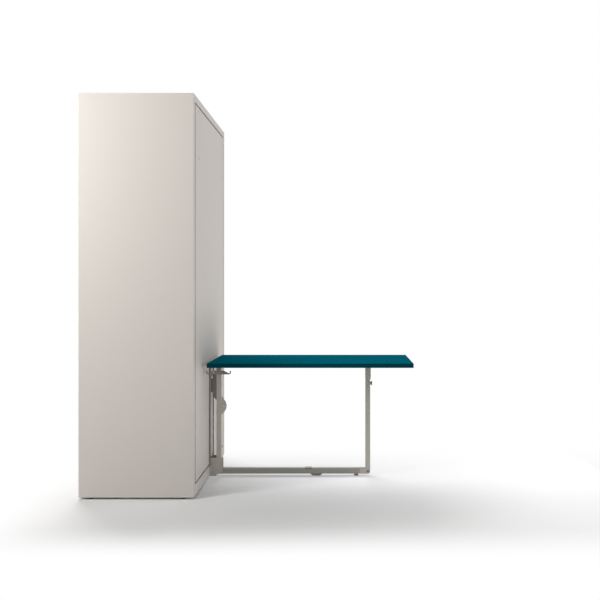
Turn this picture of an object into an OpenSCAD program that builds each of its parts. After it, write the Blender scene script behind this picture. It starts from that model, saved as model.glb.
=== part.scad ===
// Wall bed with a desk that folds down in front of it.
// The origin is the middle of the footprint, on the floor. +X points from the wall into the
// room, Y runs along the cabinet's width and +Z is up. Every size is in millimetres. The
// modules measure X from the wall, and the last lines put each piece in its place.
// As the bed comes down, a link between the bed panel and the desk's rear arm makes the arm,
// the desk and the front leg fold as a parallelogram, so the desk stays level and slides
// under the bed.

/* [Cabinet] */
// Overall width
cab_w = 1060; // [1020:10:1300]
// Overall height above the floor
cab_h = 2240; // [2210:10:2400]
// Overall depth from the wall to the front
cab_d = 635; // [620:5:720]
// Thickness of the side panels
side_t = 40; // [36:1:46]
// Thickness of the top panel
top_t = 40; // [30:1:50]
// Height of the glides under the cabinet
glide_h = 10; // [6:1:14]
// Diameter of the glides
glide_d = 30; // [20:1:38]
// Height of the plinth board
plinth_h = 60; // [54:1:64]
// Thickness of the plinth board
plinth_t = 20; // [16:1:28]
// Gap beside and above the bed's front panel
panel_gap = 7; // [4:0.5:8]
// Gap between the bed's front panel and the plinth
panel_foot_gap = 8; // [6:1:12]
// Thickness of the back panels
back_t = 8; // [6:1:10]
// Distance from the wall to the back panels
back_set = 6; // [4:1:8]
// Depth of the grooves that hold the back panels
groove_d = 8; // [5:1:10]
// Height of the back rails
back_rail_h = 120; // [100:5:160]
// Thickness of the back rails
back_rail_t = 20; // [18:1:28]
// Diameter of the wall fixing holes
wall_hole_d = 10; // [6:1:14]
// Distance between the wall fixing holes
wall_hole_span = 800; // [400:20:900]
// Distance from the wall to the front of the headboard
head_x = 288; // [240:2:300]
// Height of the headboard's top edge
head_h = 900; // [700:10:1100]
// Thickness of the headboard and its shelf
head_t = 18; // [16:1:25]

/* [Bed] */
// Thickness of the bed's front panel
front_t = 18; // [16:1:18]
// Distance from the cabinet's front to the bed's pivot
pivot_set = 32; // [31:1:36]
// Height of the bed's pivot
pivot_z = 290; // [280:1:310]
// Radius of the pivot pins
pivot_r = 6; // [5:0.5:7]
// Room between the bed's rails and the cabinet's sides
bed_side_room = 40; // [36:1:60]
// Room between the bed's rails and the top edge of the front panel
bed_end_room = 64; // [60:1:120]
// Thickness of the mattress
mattress_t = 178; // [140:2:190]
// Distance from the front panel to the mattress
bed_base = 54; // [46:1:60]
// Thickness of the bed's side rails
bed_rail_t = 25; // [20:1:28]
// Depth of the bed's rails
bed_rail_w = 90; // [80:1:110]
// Number of slats
slat_n = 13; // [9:1:16]
// Width of a slat
slat_w = 53; // [40:1:70]
// Thickness of a slat
slat_t = 8; // [6:0.5:10]
// Rise of a slat's bow
slat_bow = 12; // [8:1:16]
// Distance from an end of the mattress to a bedding strap
strap_set = 650; // [400:10:900]
// Width of the bedding straps
strap_w = 40; // [25:1:60]
// Thickness of the bedding straps
strap_t = 2; // [1.5:0.5:3]

/* [Drop legs] */
// Width of a drop leg
drop_w = 60; // [40:2:80]
// Distance from the cabinet's centre plane to a drop leg's middle
drop_y = 380; // [340:5:400]
// Distance from the panel's top edge down to the legs' pivots
drop_set = 30; // [24:1:60]
// Radius of the drop legs' pins
drop_pin_r = 2.5; // [2:0.5:3]
// Gap beside and under a drop leg in its cut-out
drop_gap = 1; // [1:0.5:5]

/* [Gas springs] */
// Radius of a gas spring's cylinder
gas_r = 11; // [9:0.5:12]
// Length of a gas spring's cylinder
gas_l = 300; // [280:5:320]
// Radius of a gas spring's rod
gas_rod_r = 4; // [3:0.5:5]

/* [Desk] */
// Length of the desk top, away from the cabinet
desk_l = 1210; // [1100:10:1400]
// Width of the desk top
desk_w = 560; // [500:10:700]
// Thickness of the desk top
desk_t = 25; // [20:1:30]
// Height of the desk's upper surface
desk_h = 722; // [714:1:740]
// Gap from the cabinet's front to the desk
desk_gap = 26; // [20:1:40]

/* [Floor frame] */
// Width of the floor rail and the arm
tube_w = 30; // [26:1:34]
// Height of the floor rail
rail_h = 36; // [34:1:40]
// Height of the floor rail's underside
rail_z = 12; // [12:1:16]
// Wall thickness of the tubes
tube_t = 2; // [1.5:0.5:3]
// Distance from the cabinet's front to the rail's middle foot
mid_foot_x = 658; // [500:1:760]
// Distance from the rail's end to the levelling foot
end_foot_set = 47; // [40:1:90]
// Distance from the cabinet's front to the front leg's pivots
leg_x = 977; // [900:1:1050]
// Depth of the front leg
leg_d = 30; // [26:1:30]
// Radius of the leg's and the arm's pivot bolts
bolt_r = 4; // [3.5:0.5:5]

/* [Linkage] */
// Distance from the cabinet's front to the rear arm's pivots
arm_x = 38; // [36:1:42]
// Height of the rear arm's lower pivot
arm_z = 88; // [88:1:92]
// Length between the pivots of the rear arm and of the front leg
arm_l = 594; // [580:1:600]
// Distance of the link's pin from the arm's pivot line
lug_x = 44; // [42:1:46]
// Height of the link's pin above the arm's lower pivot
lug_z = 340; // [320:1:360]
// Radius of the half-disc lugs
lug_r = 58; // [52:1:62]
// Thickness of the steel plates
plate_t = 3; // [2.5:0.5:4]
// Thickness of the drive link
link_t = 6; // [4:0.5:7]
// Width of the drive link between its eyes
link_w = 14; // [11:1:15]
// Outer radius of the hollow rivet in the lugs
rivet_r = 5; // [4.5:0.5:5.5]
// Inner radius of the hollow rivet
rivet_bore_r = 3.5; // [2.5:0.5:3.5]

/* [Hidden] */
$fn = 64;

// Clearances
run = 0.05;          // radial clearance of a pin in its bore
play = 0.3;          // gap between faces that slide or rest on each other
open_play = 1;       // radial clearance of a pivot that another joint already places

// Colours
board_c = [0.82, 0.79, 0.76];
steel_c = [0.52, 0.51, 0.48];
light_steel_c = [0.78, 0.75, 0.71];
dark_steel_c = [0.44, 0.42, 0.39];
zinc_c = [0.72, 0.72, 0.70];
rubber_c = [0.16, 0.14, 0.13];
nylon_c = [0.30, 0.30, 0.30];
pale_c = [0.66, 0.64, 0.60];
desk_c = [0.00, 0.34, 0.40];
birch_c = [0.83, 0.70, 0.50];
fabric_c = [0.93, 0.92, 0.89];
webbing_c = [0.35, 0.36, 0.38];

// Cabinet
half_w = cab_w / 2;
half_in = half_w - side_t;
plinth_top = glide_h + plinth_h;
top_z = cab_h - top_t;
back_x1 = back_set + back_t;
rail_bottom_z = top_z - back_rail_h;
low_rail_top = glide_h + back_rail_h;
mid_z = (rail_bottom_z + low_rail_top) / 2;
strip_web = 2;

// Front panel and bed
panel_half = half_in - panel_gap;
panel_z0 = plinth_top + panel_foot_gap;
panel_z1 = top_z - panel_gap;
panel_x0 = cab_d - front_t;
pivot_x = cab_d - pivot_set;
frame_out = half_in - bed_side_room;
frame_in = frame_out - bed_rail_t;
mattress_play = 1;   // gap between the mattress and the side rails
mattress_w = 2 * (frame_in - mattress_play);
frame_z0 = panel_z0 + 1;
frame_x0 = panel_x0 - bed_rail_w;
frame_z1 = panel_z1 - bed_end_room;
mattress_z0 = frame_z0 + bed_rail_t;
mattress_z1 = frame_z1 - bed_rail_t;
mattress_l = mattress_z1 - mattress_z0;
mattress_x1 = panel_x0 - bed_base;
mattress_x0 = mattress_x1 - mattress_t;
slat_half = frame_in - 3;
slat_r = (slat_half * slat_half + slat_bow * slat_bow) / (2 * slat_bow);
slat_margin = 80;
slat_pitch = (mattress_l - 2 * slat_margin) / (slat_n - 1);

// Pivot hardware between the bed frame and the cabinet sides
bracket_t = 3;
boss_r = pivot_set - front_t - 1.5;
bush_r = pivot_r + 2;
boss_l = 13;
boss_y0 = half_in - bracket_t - boss_l;
pin_plate_t = 4;

// Gas springs: the fixed stud is above the pivot and the moving one below it
gas_y = (frame_out + half_in) / 2;
gas_fix_at = [-150, 400];
gas_move_at = [-33, -110];
gas_fix = [pivot_x + gas_fix_at[0], pivot_z + gas_fix_at[1]];
gas_move = [pivot_x + gas_move_at[0], pivot_z + gas_move_at[1]];
gas_d = [gas_move[0] - gas_fix[0], gas_move[1] - gas_fix[1]];
gas_len = norm(gas_d);
gas_tilt = -atan2(gas_d[0], -gas_d[1]);
gas_stud_r = 5;
gas_eye_r = 10;
gas_eye_w = 16;

// Drop legs hang from pins near the panel's face; the cut-out's top clears the leg's front corner
drop_in = 5;
drop_edge = 1.2;
drop_px = cab_d - drop_in;
drop_pz = panel_z1 - drop_set;
drop_top = drop_pz + drop_in;
drop_room_z = drop_pz + norm([drop_in, drop_in - drop_edge]) + play;
drop_len = pivot_z - (drop_px - pivot_x) - 1;
drop_foot = 6;

// Desk and linkage
desk_x0 = cab_d + desk_gap;
desk_x1 = desk_x0 + desk_l;
desk_z0 = desk_h - desk_t;
rail_y = tube_w / 2;
rail_top = rail_z + rail_h;
low_arm = [cab_d + arm_x, arm_z];
high_arm = [low_arm[0], arm_z + arm_l];
arm_x0 = low_arm[0] + 0.5;
arm_x1 = arm_x0 + tube_w;
leg_px = cab_d + leg_x;
leg_pz = 28;
leg_top = [leg_px, leg_pz + arm_l];
leg_r = leg_d / 2;
leg_y = rail_y - play;
lug = [low_arm[0] + lug_x, arm_z + lug_z];
link_pin = [pivot_x + lug_x, pivot_z + lug_z];
lug_y1 = rail_y + plate_t;
link_y0 = lug_y1 + play;
link_y1 = link_y0 + link_t;
link_pin_r = 5;
link_eye_r = link_pin[0] - cab_d - plate_t - 0.5;
gusset_reach = 24;
gusset_z0 = 463;
gusset_z1 = 630;

// Screws: radius, lengths and places
screw_r = 2.2;
plinth_screw_l = 12;
plate_half = 60;
plinth_screws = [for (y = [-1, 1], z = [glide_h + 16, plinth_top - 16]) [y * (plate_half - 12), z]];
wall_hole_z = top_z - back_rail_h / 2;
bracket_top = 113;
rail_x1 = leg_px - leg_r - 10;
foot_px = rail_x1 - end_foot_set;
foot_stud_r = 4;
leg_foot_z = leg_pz + 544;
drop_pin_half = drop_w / 2 + drop_gap + 10;
strap_zs = [mattress_z0 + strap_set, mattress_z1 - strap_set];
hook_x = desk_x0 + 57;
hook_y = 200;
hook_t = 4;
desk_screw_l = 16;
rear_screws = [for (x = [desk_x0 + 12, desk_x0 + 84], y = [-36, 36]) [x, y]];
front_screws = [for (x = [leg_px - 32, leg_px + 32], y = [-36, 36]) [x, y]];
hook_screws = [for (x = [hook_x - 14, hook_x + 14]) [x, hook_y + 15]];
desk_screw_at = concat(rear_screws, front_screws, hook_screws, [for (p = hook_screws) [p[0], -p[1]]]);

// A profile drawn in X and Z, spread along Y from y0 to y1
module slab(y0, y1) {
    translate([0, y1, 0]) rotate([90, 0, 0]) linear_extrude(y1 - y0) children();
}

// A round bar along Y
module bar_y(at, r, y0, y1) {
    translate([at[0], y1, at[1]]) rotate([90, 0, 0]) cylinder(r = r, h = y1 - y0);
}

// A round bar along X
module bar_x(x0, x1, y, z, r) {
    translate([x0, y, z]) rotate([0, 90, 0]) cylinder(r = r, h = x1 - x0);
}

// A block between two corners
module block(a, b) {
    translate(a) cube([b[0] - a[0], b[1] - a[1], b[2] - a[2]]);
}

// The same piece on both sides of the centre plane
module both() {
    children();
    mirror([0, 1, 0]) children();
}

// A disc in a profile
module disc(at, r) {
    translate(at) circle(r = r);
}

// A rectangle in a profile, between two corners
module rect(a, b) {
    translate(a) square([b[0] - a[0], b[1] - a[1]]);
}

// Moves a piece from the wall's X to the middle of the footprint
module in_room() {
    translate([-desk_x1 / 2, 0, 0]) children();
}

// ---- Cabinet ----

// One side panel, with the grooves that take the back panels
module side_panel(side) {
    y0 = side < 0 ? -half_w : half_in;
    groove_y = side < 0 ? -half_in - groove_d : half_in - 1;
    color(board_c) difference() {
        block([0, y0, glide_h], [cab_d, y0 + side_t, cab_h]);
        block([back_set - play / 2, groove_y, glide_h - 1],
              [back_x1 + play / 2, groove_y + groove_d + 1, top_z]);
    }
}

module side_panel_left() {
    side_panel(-1);
}

module side_panel_right() {
    side_panel(1);
}

module top_panel() {
    color(board_c) block([0, -half_in, top_z], [cab_d, half_in, cab_h]);
}

module plinth_board() {
    color(board_c) difference() {
        block([cab_d - plinth_t, -half_in, glide_h], [cab_d, half_in, plinth_top]);
        for (p = plinth_screws) bar_x(cab_d - plinth_screw_l, cab_d + 1, p[0], p[1], screw_r);
    }
}

// A back panel seats in the side panels' grooves, the rails and the joint strip
module back_panel(z0, z1) {
    y = half_in + groove_d - play;
    color(board_c) block([back_set, -y, z0], [back_x1, y, z1]);
}

module back_panel_upper() {
    back_panel(mid_z + strip_web / 2, rail_bottom_z + groove_d - play);
}

module back_panel_lower() {
    back_panel(low_rail_top - groove_d + play, mid_z - strip_web / 2);
}

// H-section strip that joins the two back panels
module back_joint_strip() {
    lip = 12;
    wall = 1.5;
    color(board_c) linear_extrude_y(half_in - play) {
        rect([back_set, mid_z - strip_web / 2], [back_x1, mid_z + strip_web / 2]);
        rect([back_set - wall, mid_z - lip], [back_set, mid_z + lip]);
        rect([back_x1, mid_z - lip], [back_x1 + wall, mid_z + lip]);
    }
}

// A profile in X and Z spread to both sides of the centre plane
module linear_extrude_y(half) {
    slab(-half, half) children();
}

// A cross rail against the wall, grooved on the edge that takes a back panel
module back_rail(z0, groove_z0) {
    difference() {
        block([0, -half_in, z0], [back_rail_t, half_in, z0 + back_rail_h]);
        block([back_set - play / 2, -half_in - 1, groove_z0],
              [back_x1 + play / 2, half_in + 1, groove_z0 + groove_d + 1]);
    }
}

module back_rail_top() {
    color(board_c) difference() {
        back_rail(rail_bottom_z, rail_bottom_z - 1);
        for (side = [-1, 1])
            bar_x(-1, back_rail_t + 1, side * wall_hole_span / 2, wall_hole_z, wall_hole_d / 2);
    }
}

module back_rail_bottom() {
    color(board_c) back_rail(glide_h, low_rail_top - groove_d);
}

module headboard_panel() {
    color(board_c) block([head_x - head_t, -half_in, glide_h], [head_x, half_in, head_h - head_t]);
}

module headboard_shelf() {
    color(board_c) block([back_x1 + play, -half_in, head_h - head_t], [head_x, half_in, head_h]);
}

// Turned glides under the side panels and the plinth board
module cabinet_glides() {
    inset = 60;
    color(nylon_c) {
        both() for (x = [inset, cab_d - inset]) glide([x, half_w - side_t / 2]);
    }
}

module glide(at) {
    translate([at[0], at[1], 0]) rotate_extrude()
        polygon([[0, 0], [glide_d / 2 - 2, 0], [glide_d / 2, 2], [glide_d / 2, glide_h], [0, glide_h]]);
}

// ---- Bed pivots, stops and gas spring brackets on the cabinet ----

module pivot_brackets() {
    half_h = 50;
    back = 58;
    color(zinc_c) both() difference() {
        union() {
            slab(half_in - bracket_t, half_in)
                rect([pivot_x - back, pivot_z - half_h], [cab_d - 2, pivot_z + half_h]);
            bar_y([pivot_x, pivot_z], boss_r, boss_y0, half_in - bracket_t);
        }
        bar_y([pivot_x, pivot_z], bush_r, boss_y0 - 1, half_in + 1);
        for (x = [pivot_x - back + 14], z = [pivot_z - half_h + 14, pivot_z + half_h - 14])
            bar_y([x, z], screw_r, half_in - bracket_t - 1, half_in + 1);
    }
}

module pivot_bushes() {
    flange = 1.5;
    color(nylon_c) both() difference() {
        union() {
            bar_y([pivot_x, pivot_z], bush_r, boss_y0, half_in - 1);
            bar_y([pivot_x, pivot_z], boss_r - 1, boss_y0 - flange, boss_y0);
        }
        bar_y([pivot_x, pivot_z], pivot_r + run, boss_y0 - flange - 1, half_in);
    }
}

// Steel angles with rubber domes, which the bed panel closes against
module stop_buffers() {
    below_edge = 60;
    z = panel_z1 - below_edge;
    arm = 22;
    dome_l = 10;
    y = (frame_out + half_in) / 2 + 8;
    wall_x = panel_x0 - play - dome_l;
    color(rubber_c) both() {
        block([wall_x - 3, y - arm / 2, z - arm / 2], [wall_x, half_in, z + arm / 2]);
        block([wall_x - 30, half_in - 3, z - arm / 2], [wall_x - 3, half_in, z + arm / 2]);
        translate([wall_x, y, z]) rotate([0, 90, 0]) rotate_extrude()
            polygon([[0, 0], [9, 0], [9, dome_l - 4], [6, dome_l], [0, dome_l]]);
    }
}

// Plates on the cabinet sides, with the studs that the gas springs hang from
module strut_brackets() {
    half = 26;
    color(zinc_c) both() difference() {
        union() {
            slab(half_in - bracket_t, half_in)
                rect([gas_fix[0] - half, gas_fix[1] - half], [gas_fix[0] + half, gas_fix[1] + half]);
            bar_y(gas_fix, gas_stud_r, gas_y - gas_eye_w / 2 - 3, half_in - bracket_t);
            bar_y(gas_fix, gas_stud_r + 3, gas_y + gas_eye_w / 2 + play, half_in - bracket_t);
        }
        for (dx = [-1, 1], dz = [-1, 1])
            bar_y(gas_fix + [dx, dz] * (half - 8), screw_r, half_in - bracket_t - 1, half_in + 1);
    }
}

// ---- Floor frame ----

// Welded bracket: two cheeks, liners round the rail, a back plate, a foot and a bridge
module base_bracket() {
    in_y = lug_y1;
    out_y = in_y + 4;
    depth = 76;
    foot_d = 37;
    color(steel_c) difference() {
        union() {
            both() slab(in_y, out_y) {
                rect([cab_d + 1, rail_z], [cab_d + depth - 14, bracket_top]);
                rect([cab_d + depth - 14, rail_z + 8], [cab_d + depth, bracket_top - 14]);
                disc([cab_d + depth - 14, bracket_top - 14], 14);
                disc([cab_d + depth - 22, rail_z + 8], 8);
                rect([cab_d + depth - 22, rail_z], [cab_d + depth - 14, rail_z + 8]);
            }
            both() slab(rail_y, in_y) rect([cab_d + 4, rail_z], [cab_d + depth - 16, rail_top]);
            block([cab_d, -plate_half, rail_z], [cab_d + 4, plate_half, plinth_top - 2]);
            block([cab_d + 1, -out_y, 0], [cab_d + foot_d, out_y, rail_z]);
            block([cab_d + 8, -out_y, bracket_top - 4], [cab_d + foot_d, out_y, bracket_top]);
        }
        bar_y(low_arm, bolt_r + 1, -out_y - 1, out_y + 1);
        for (p = plinth_screws) bar_x(cab_d - 1, cab_d + 5, p[0], p[1], screw_r);
    }
}

// Rubber pad on the bracket's bridge
module base_bracket_pad() {
    out_y = lug_y1 + 4;
    color(rubber_c) block([cab_d + 8, -out_y, bracket_top], [cab_d + 37, out_y, bracket_top + 7]);
}

// Rectangular floor tube, open at both ends
module floor_rail() {
    x0 = cab_d + 4;
    color(steel_c) difference() {
        block([x0, -rail_y, rail_z], [rail_x1, rail_y, rail_top]);
        block([x0 - 1, tube_t - rail_y, rail_z + tube_t], [rail_x1 + 1, rail_y - tube_t, rail_top - tube_t]);
        translate([foot_px, 0, rail_z - 1]) cylinder(r = foot_stud_r, h = tube_t + 2);
    }
}

// The two ears at the rail's end that carry the front leg's lower bolt
module rail_end_ears() {
    color(steel_c) both() slab(rail_y, lug_y1) difference() {
        union() {
            rect([rail_x1 - 22, rail_z], [leg_px, rail_top - 4]);
            rect([leg_px, leg_pz], [leg_px + leg_r, rail_top - 4]);
            disc([leg_px, leg_pz], leg_r);
        }
        disc([leg_px, leg_pz], bolt_r);
    }
}

// Folded sheet foot under the middle of the rail, wider at the top than on the floor
module rail_foot() {
    x = cab_d + mid_foot_x;
    half_top = 38;
    half_low = 21;
    color(steel_c) difference() {
        linear_extrude_y(rail_y)
            polygon([[x - half_low, 0], [x + half_low, 0], [x + half_top, rail_z], [x - half_top, rail_z]]);
        linear_extrude_y(rail_y - tube_t)
            polygon([[x - half_low + 1, tube_t], [x + half_low - 1, tube_t],
                     [x + half_top - 4, rail_z + 1], [x - half_top + 4, rail_z + 1]]);
    }
}

// A conical foot on a stud: the disc rests on the floor side, the stud goes into the tube
module cone_foot(height, base_r, stud_l) {
    rotate_extrude() polygon([
        [0, 0], [base_r, 0], [base_r, 2.5], [foot_stud_r + 2, height],
        [foot_stud_r - run, height], [foot_stud_r - run, height + stud_l], [0, height + stud_l]
    ]);
}

module levelling_foot() {
    color(dark_steel_c) translate([foot_px, 0, 0]) cone_foot(rail_z, 15, 12);
}

// Thin rubber saddle on the rail, which the folded arm comes to lie over
module rail_landing_pad() {
    x0 = low_arm[0] + arm_l - 45;
    x1 = x0 + 42;
    flank = 8;
    skin = 1.5;
    color(rubber_c) linear_extrude_x(x0, x1) difference() {
        translate([-rail_y - skin, rail_top - flank]) square([tube_w + 2 * skin, flank + skin]);
        translate([-rail_y, rail_top - flank - 1]) square([tube_w, flank + 1]);
    }
}

// A profile drawn in Y and Z, spread along X from x0 to x1
module linear_extrude_x(x0, x1) {
    translate([x0, 0, 0]) rotate([90, 0, 90]) linear_extrude(x1 - x0) children();
}

// A bolt along Y with a head on one side and a nut on the other
module bolt_y(at, r, y, thread_r) {
    head = 1.9 * r;
    bar_y(at, r, -y, y);
    bar_y(at, head, -y - 0.7 * r, -y);
    translate([at[0], y + 0.8 * r, at[1]]) rotate([90, 0, 0]) cylinder(r = head, h = 0.8 * r, $fn = 6);
    bar_y(at, thread_r, y, y + 1.3 * r);
}

module arm_pivot_bolt() {
    color(steel_c) bolt_y(low_arm, bolt_r + 1, lug_y1 + 4, bolt_r);
}

module leg_pivot_bolt() {
    color(dark_steel_c) bolt_y([leg_px, leg_pz], bolt_r, lug_y1, bolt_r - 0.5);
}

// Countersunk screws in the cabinet's brackets
module cabinet_screws() {
    color(zinc_c) {
        for (p = plinth_screws) {
            bar_x(cab_d - plinth_screw_l, cab_d + 4, p[0], p[1], screw_r);
            bar_x(cab_d + 4, cab_d + 6, p[0], p[1], 2 * screw_r);
        }
    }
}

// ---- Bed ----

// The front panel, with a cut-out for each drop leg and a bore for its pin
module front_panel() {
    color(board_c) difference() {
        block([panel_x0, -panel_half, panel_z0], [cab_d, panel_half, panel_z1]);
        both() {
            block([panel_x0 - 1, drop_y - drop_w / 2 - drop_gap, drop_pz - drop_len - drop_gap],
                  [cab_d + 1, drop_y + drop_w / 2 + drop_gap, drop_room_z]);
            bar_y([drop_px, drop_pz], drop_pin_r, drop_y - drop_pin_half, drop_y + drop_pin_half);
        }
    }
}

module bed_side_rail(side) {
    y0 = side < 0 ? -frame_out : frame_in;
    color(birch_c) block([frame_x0, y0, frame_z0], [panel_x0, y0 + bed_rail_t, frame_z1]);
}

module bed_side_rail_left() {
    bed_side_rail(-1);
}

module bed_side_rail_right() {
    bed_side_rail(1);
}

// The rails across the bed's head and foot, between the side rails
module bed_end_rails() {
    color(birch_c) for (z = [frame_z0, mattress_z1])
        block([frame_x0, -frame_in, z], [panel_x0, frame_in, z + bed_rail_t]);
}

// Bowed slats, whose crowns carry the mattress
module slats() {
    color(birch_c) for (i = [0 : slat_n - 1]) translate([0, 0, slat_z(i) - slat_w / 2])
        linear_extrude(slat_w) intersection() {
            translate([mattress_x1 + slat_r, 0]) difference() {
                circle(r = slat_r, $fn = 1440);
                circle(r = slat_r - slat_t, $fn = 1440);
            }
            rect([mattress_x1 - 1, -slat_half], [mattress_x1 + slat_bow + 2 * slat_t, slat_half]);
        }
}

function slat_z(i) = mattress_z0 + slat_margin + i * slat_pitch;

// Moulded pockets on the side rails that take the slats' ends
module slat_holders() {
    wall = 4;
    grip = 13;
    x0 = mattress_x1 + slat_bow - 1.2;
    x1 = mattress_x1 + slat_bow + slat_t + play;
    half_z = slat_w / 2 + play;
    color(nylon_c) both() for (i = [0 : slat_n - 1]) translate([0, 0, slat_z(i)]) difference() {
        block([x0 - wall, frame_in - grip, -half_z - wall], [x1 + wall, frame_in, half_z + wall]);
        block([x0, frame_in - grip - 1, -half_z], [x1, slat_half + play, half_z]);
    }
}

// The mattress: crowned faces, drawn-in borders, rounded ends and shallow cross channels.
// Each ring is a section across the bed; ring and point counts set its smoothness.
mattress_rings = 23;
mattress_pts = 40;
mattress_round = 60;
crown = 6;
channel = 3;

// Signed power, which squares a circle's outline
function squared(v, p) = sign(v) * pow(abs(v), p);

// Distance along the mattress of ring i: closer rings at the rounded ends
function ring_v(i) = -cos(180 * i / (mattress_rings - 1));

// Share of the full section that is left near a rounded end
function ring_scale(v) = let(d = (1 - abs(v)) * mattress_l / 2)
    d >= mattress_round ? 1 : sqrt(1 - pow(1 - d / mattress_round, 2));

// Half the thickness at a point: crown in the middle and a shallow channel each quarter
function half_thick(v, u) = mattress_t / 2 - crown * (v * v + u * u) / 2
    - channel * pow(cos(180 * 4 * v), 8) * (1 - u * u);

function ring_point(v, a) =
    let(s = ring_scale(v), u = squared(cos(a), 0.25), w = squared(sin(a), 0.4),
        waist = 3 * (1 - abs(w)) * (abs(u) > 0.9 ? 1 : 0),
        edge = mattress_round * (1 - s) / 2)
    [mattress_x0 + mattress_t / 2 + w * (half_thick(v, u) - edge),
     u * (mattress_w / 2 - waist - edge),
     (mattress_z0 + mattress_z1) / 2 + v * (mattress_l / 2 - play)];

module mattress() {
    n = mattress_pts;
    last = mattress_rings - 1;
    pts = [for (i = [0 : last], j = [0 : n - 1]) ring_point(ring_v(i), 360 * (j + 0.5) / n)];
    walls = [for (i = [0 : last - 1], j = [0 : n - 1]) let(k = (j + 1) % n)
        each [[i * n + j, i * n + k, (i + 1) * n + j], [i * n + k, (i + 1) * n + k, (i + 1) * n + j]]];
    caps = [[for (j = [n - 1 : -1 : 0]) j], [for (j = [0 : n - 1]) last * n + j]];
    color(fabric_c) polyhedron(pts, concat(walls, caps));
}

// Flat steel bar at the foot end, bent round twice, which keeps the mattress in its place
module mattress_retainer() {
    bar = 6;
    half = 300;
    bend = 25;
    reach = mattress_x0 + mattress_t / 2;
    z = mattress_z1 + play;
    color(zinc_c) translate([0, 0, z]) linear_extrude(bed_rail_t - 2 * play) difference() {
        bent_bar(reach, half, bend);
        bent_bar(reach + bar, half - bar, bend - bar);
    }
}

// A rectangle whose two far corners are rounded
module bent_bar(x0, half, r) {
    rect([x0 + r, -half], [frame_x0, half]);
    rect([x0, r - half], [x0 + r, half - r]);
    for (s = [-1, 1]) disc([x0 + r, s * (half - r)], r);
}

// Webbing straps over the mattress, screwed to the side rails
module bedding_straps() {
    y1 = frame_in;
    x0 = mattress_x0 - play;
    foot = 18;
    color(webbing_c) for (z = strap_zs) translate([0, 0, z - strap_w / 2]) linear_extrude(strap_w) {
        rect([x0 - strap_t, -y1 - strap_t], [x0, y1 + strap_t]);
        for (s = [-1, 1]) {
            rect([x0 - strap_t, s * (y1 + strap_t / 2) - strap_t / 2],
                 [frame_x0, s * (y1 + strap_t / 2) + strap_t / 2]);
            rect([frame_x0 - strap_t, s * (y1 + foot / 2) - foot / 2],
                 [frame_x0, s * (y1 + foot / 2) + foot / 2]);
        }
    }
}

// Square buckles on the straps: a frame with a middle bar
module strap_buckles() {
    half = strap_w / 2 + 5;
    t = 3;
    x1 = mattress_x0 - play - strap_t;
    color(nylon_c) for (z = strap_zs) translate([x1 - t, 0, z]) difference() {
        block([0, -half, -half], [t, half, half]);
        both() block([-1, 3, 5 - half], [t + 1, half - 5, half - 5]);
    }
}

// Plates on the side rails with the pins that the bed turns on, and the gas springs' lower studs
module pivot_pins() {
    half = 36;
    reach = 62;
    color(zinc_c) both() {
        slab(frame_out, frame_out + pin_plate_t)
            rect([pivot_x - reach, pivot_z - half], [panel_x0 - play, pivot_z + half]);
        bar_y([pivot_x, pivot_z], pivot_r, frame_out + pin_plate_t, half_in - 4);
        bar_y(gas_move, gas_stud_r + 5, frame_out, frame_out + 2);
        bar_y(gas_move, gas_stud_r, frame_out + 2, gas_y - gas_eye_w / 2 - play);
    }
}

// Shallow steel channel down the middle of the panel, open to the room
module panel_channel() {
    half = plate_half;
    d = 10;
    z1 = link_pin[1] + 46;
    color(light_steel_c) {
        block([cab_d, -half, bracket_top + 12], [cab_d + plate_t, half, z1]);
        both() block([cab_d, half - plate_t, bracket_top - 23], [cab_d + d, half, z1]);
    }
}

// Two angles on the channel, with the pin that the drive link's upper end goes round
module panel_link_bracket() {
    x0 = cab_d + plate_t;
    ear_r = link_pin[0] - x0;
    foot = 12;
    near = [rail_y, link_y0 - play];
    far = [link_y1 + play, link_y1 + play + plate_t];
    color(steel_c) {
        for (ear = [near, far]) slab(ear[0], ear[1]) {
            rect([x0, link_pin[1] - ear_r], [link_pin[0], link_pin[1] + ear_r]);
            disc(link_pin, ear_r);
        }
        for (y = [near[0] - foot, far[1]])
            block([x0, y, link_pin[1] - 19], [x0 + 2, y + foot, link_pin[1] + 19]);
        bar_y(link_pin, link_pin_r, near[0], far[1]);
    }
}

module drop_leg_pins() {
    color(zinc_c) both()
        bar_y([drop_px, drop_pz], drop_pin_r, drop_y - drop_pin_half, drop_y + drop_pin_half);
}

// ---- Rear arm ----

// Square tube that carries the desk's rear end
module rear_arm() {
    end = 10;
    color(steel_c) difference() {
        block([arm_x0, -rail_y, low_arm[1] + end], [arm_x1, rail_y, high_arm[1] - end]);
        block([arm_x0 + tube_t, tube_t - rail_y, low_arm[1]],
              [arm_x1 - tube_t, rail_y - tube_t, high_arm[1]]);
    }
}

// Plates on both faces of the tube's ends, and the spacer tubes between them on the pivots
module arm_hinge_plates() {
    t = plate_t - play;
    color(steel_c) {
        arm_hinge(low_arm, 1, bolt_r + 1 + run, t);
        arm_hinge(high_arm, -1, bolt_r + run, t);
    }
}

// One end of the arm: dir is +1 where the tube lies above the pivot
module arm_hinge(at, dir, bore, t) {
    r = 11;
    long = 62;
    both() slab(rail_y, rail_y + t) difference() {
        union() {
            disc(at, r);
            rect([at[0], min(at[1], at[1] + dir * long)], [arm_x1, max(at[1], at[1] + dir * long)]);
            if (dir > 0) rect([at[0], at[1] - 6], [arm_x1 - 6, at[1]]);
        }
        disc(at, bore);
    }
    difference() {
        bar_y(at, 8.5, -rail_y, rail_y);
        bar_y(at, bore, -rail_y - 1, rail_y + 1);
    }
}

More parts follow.
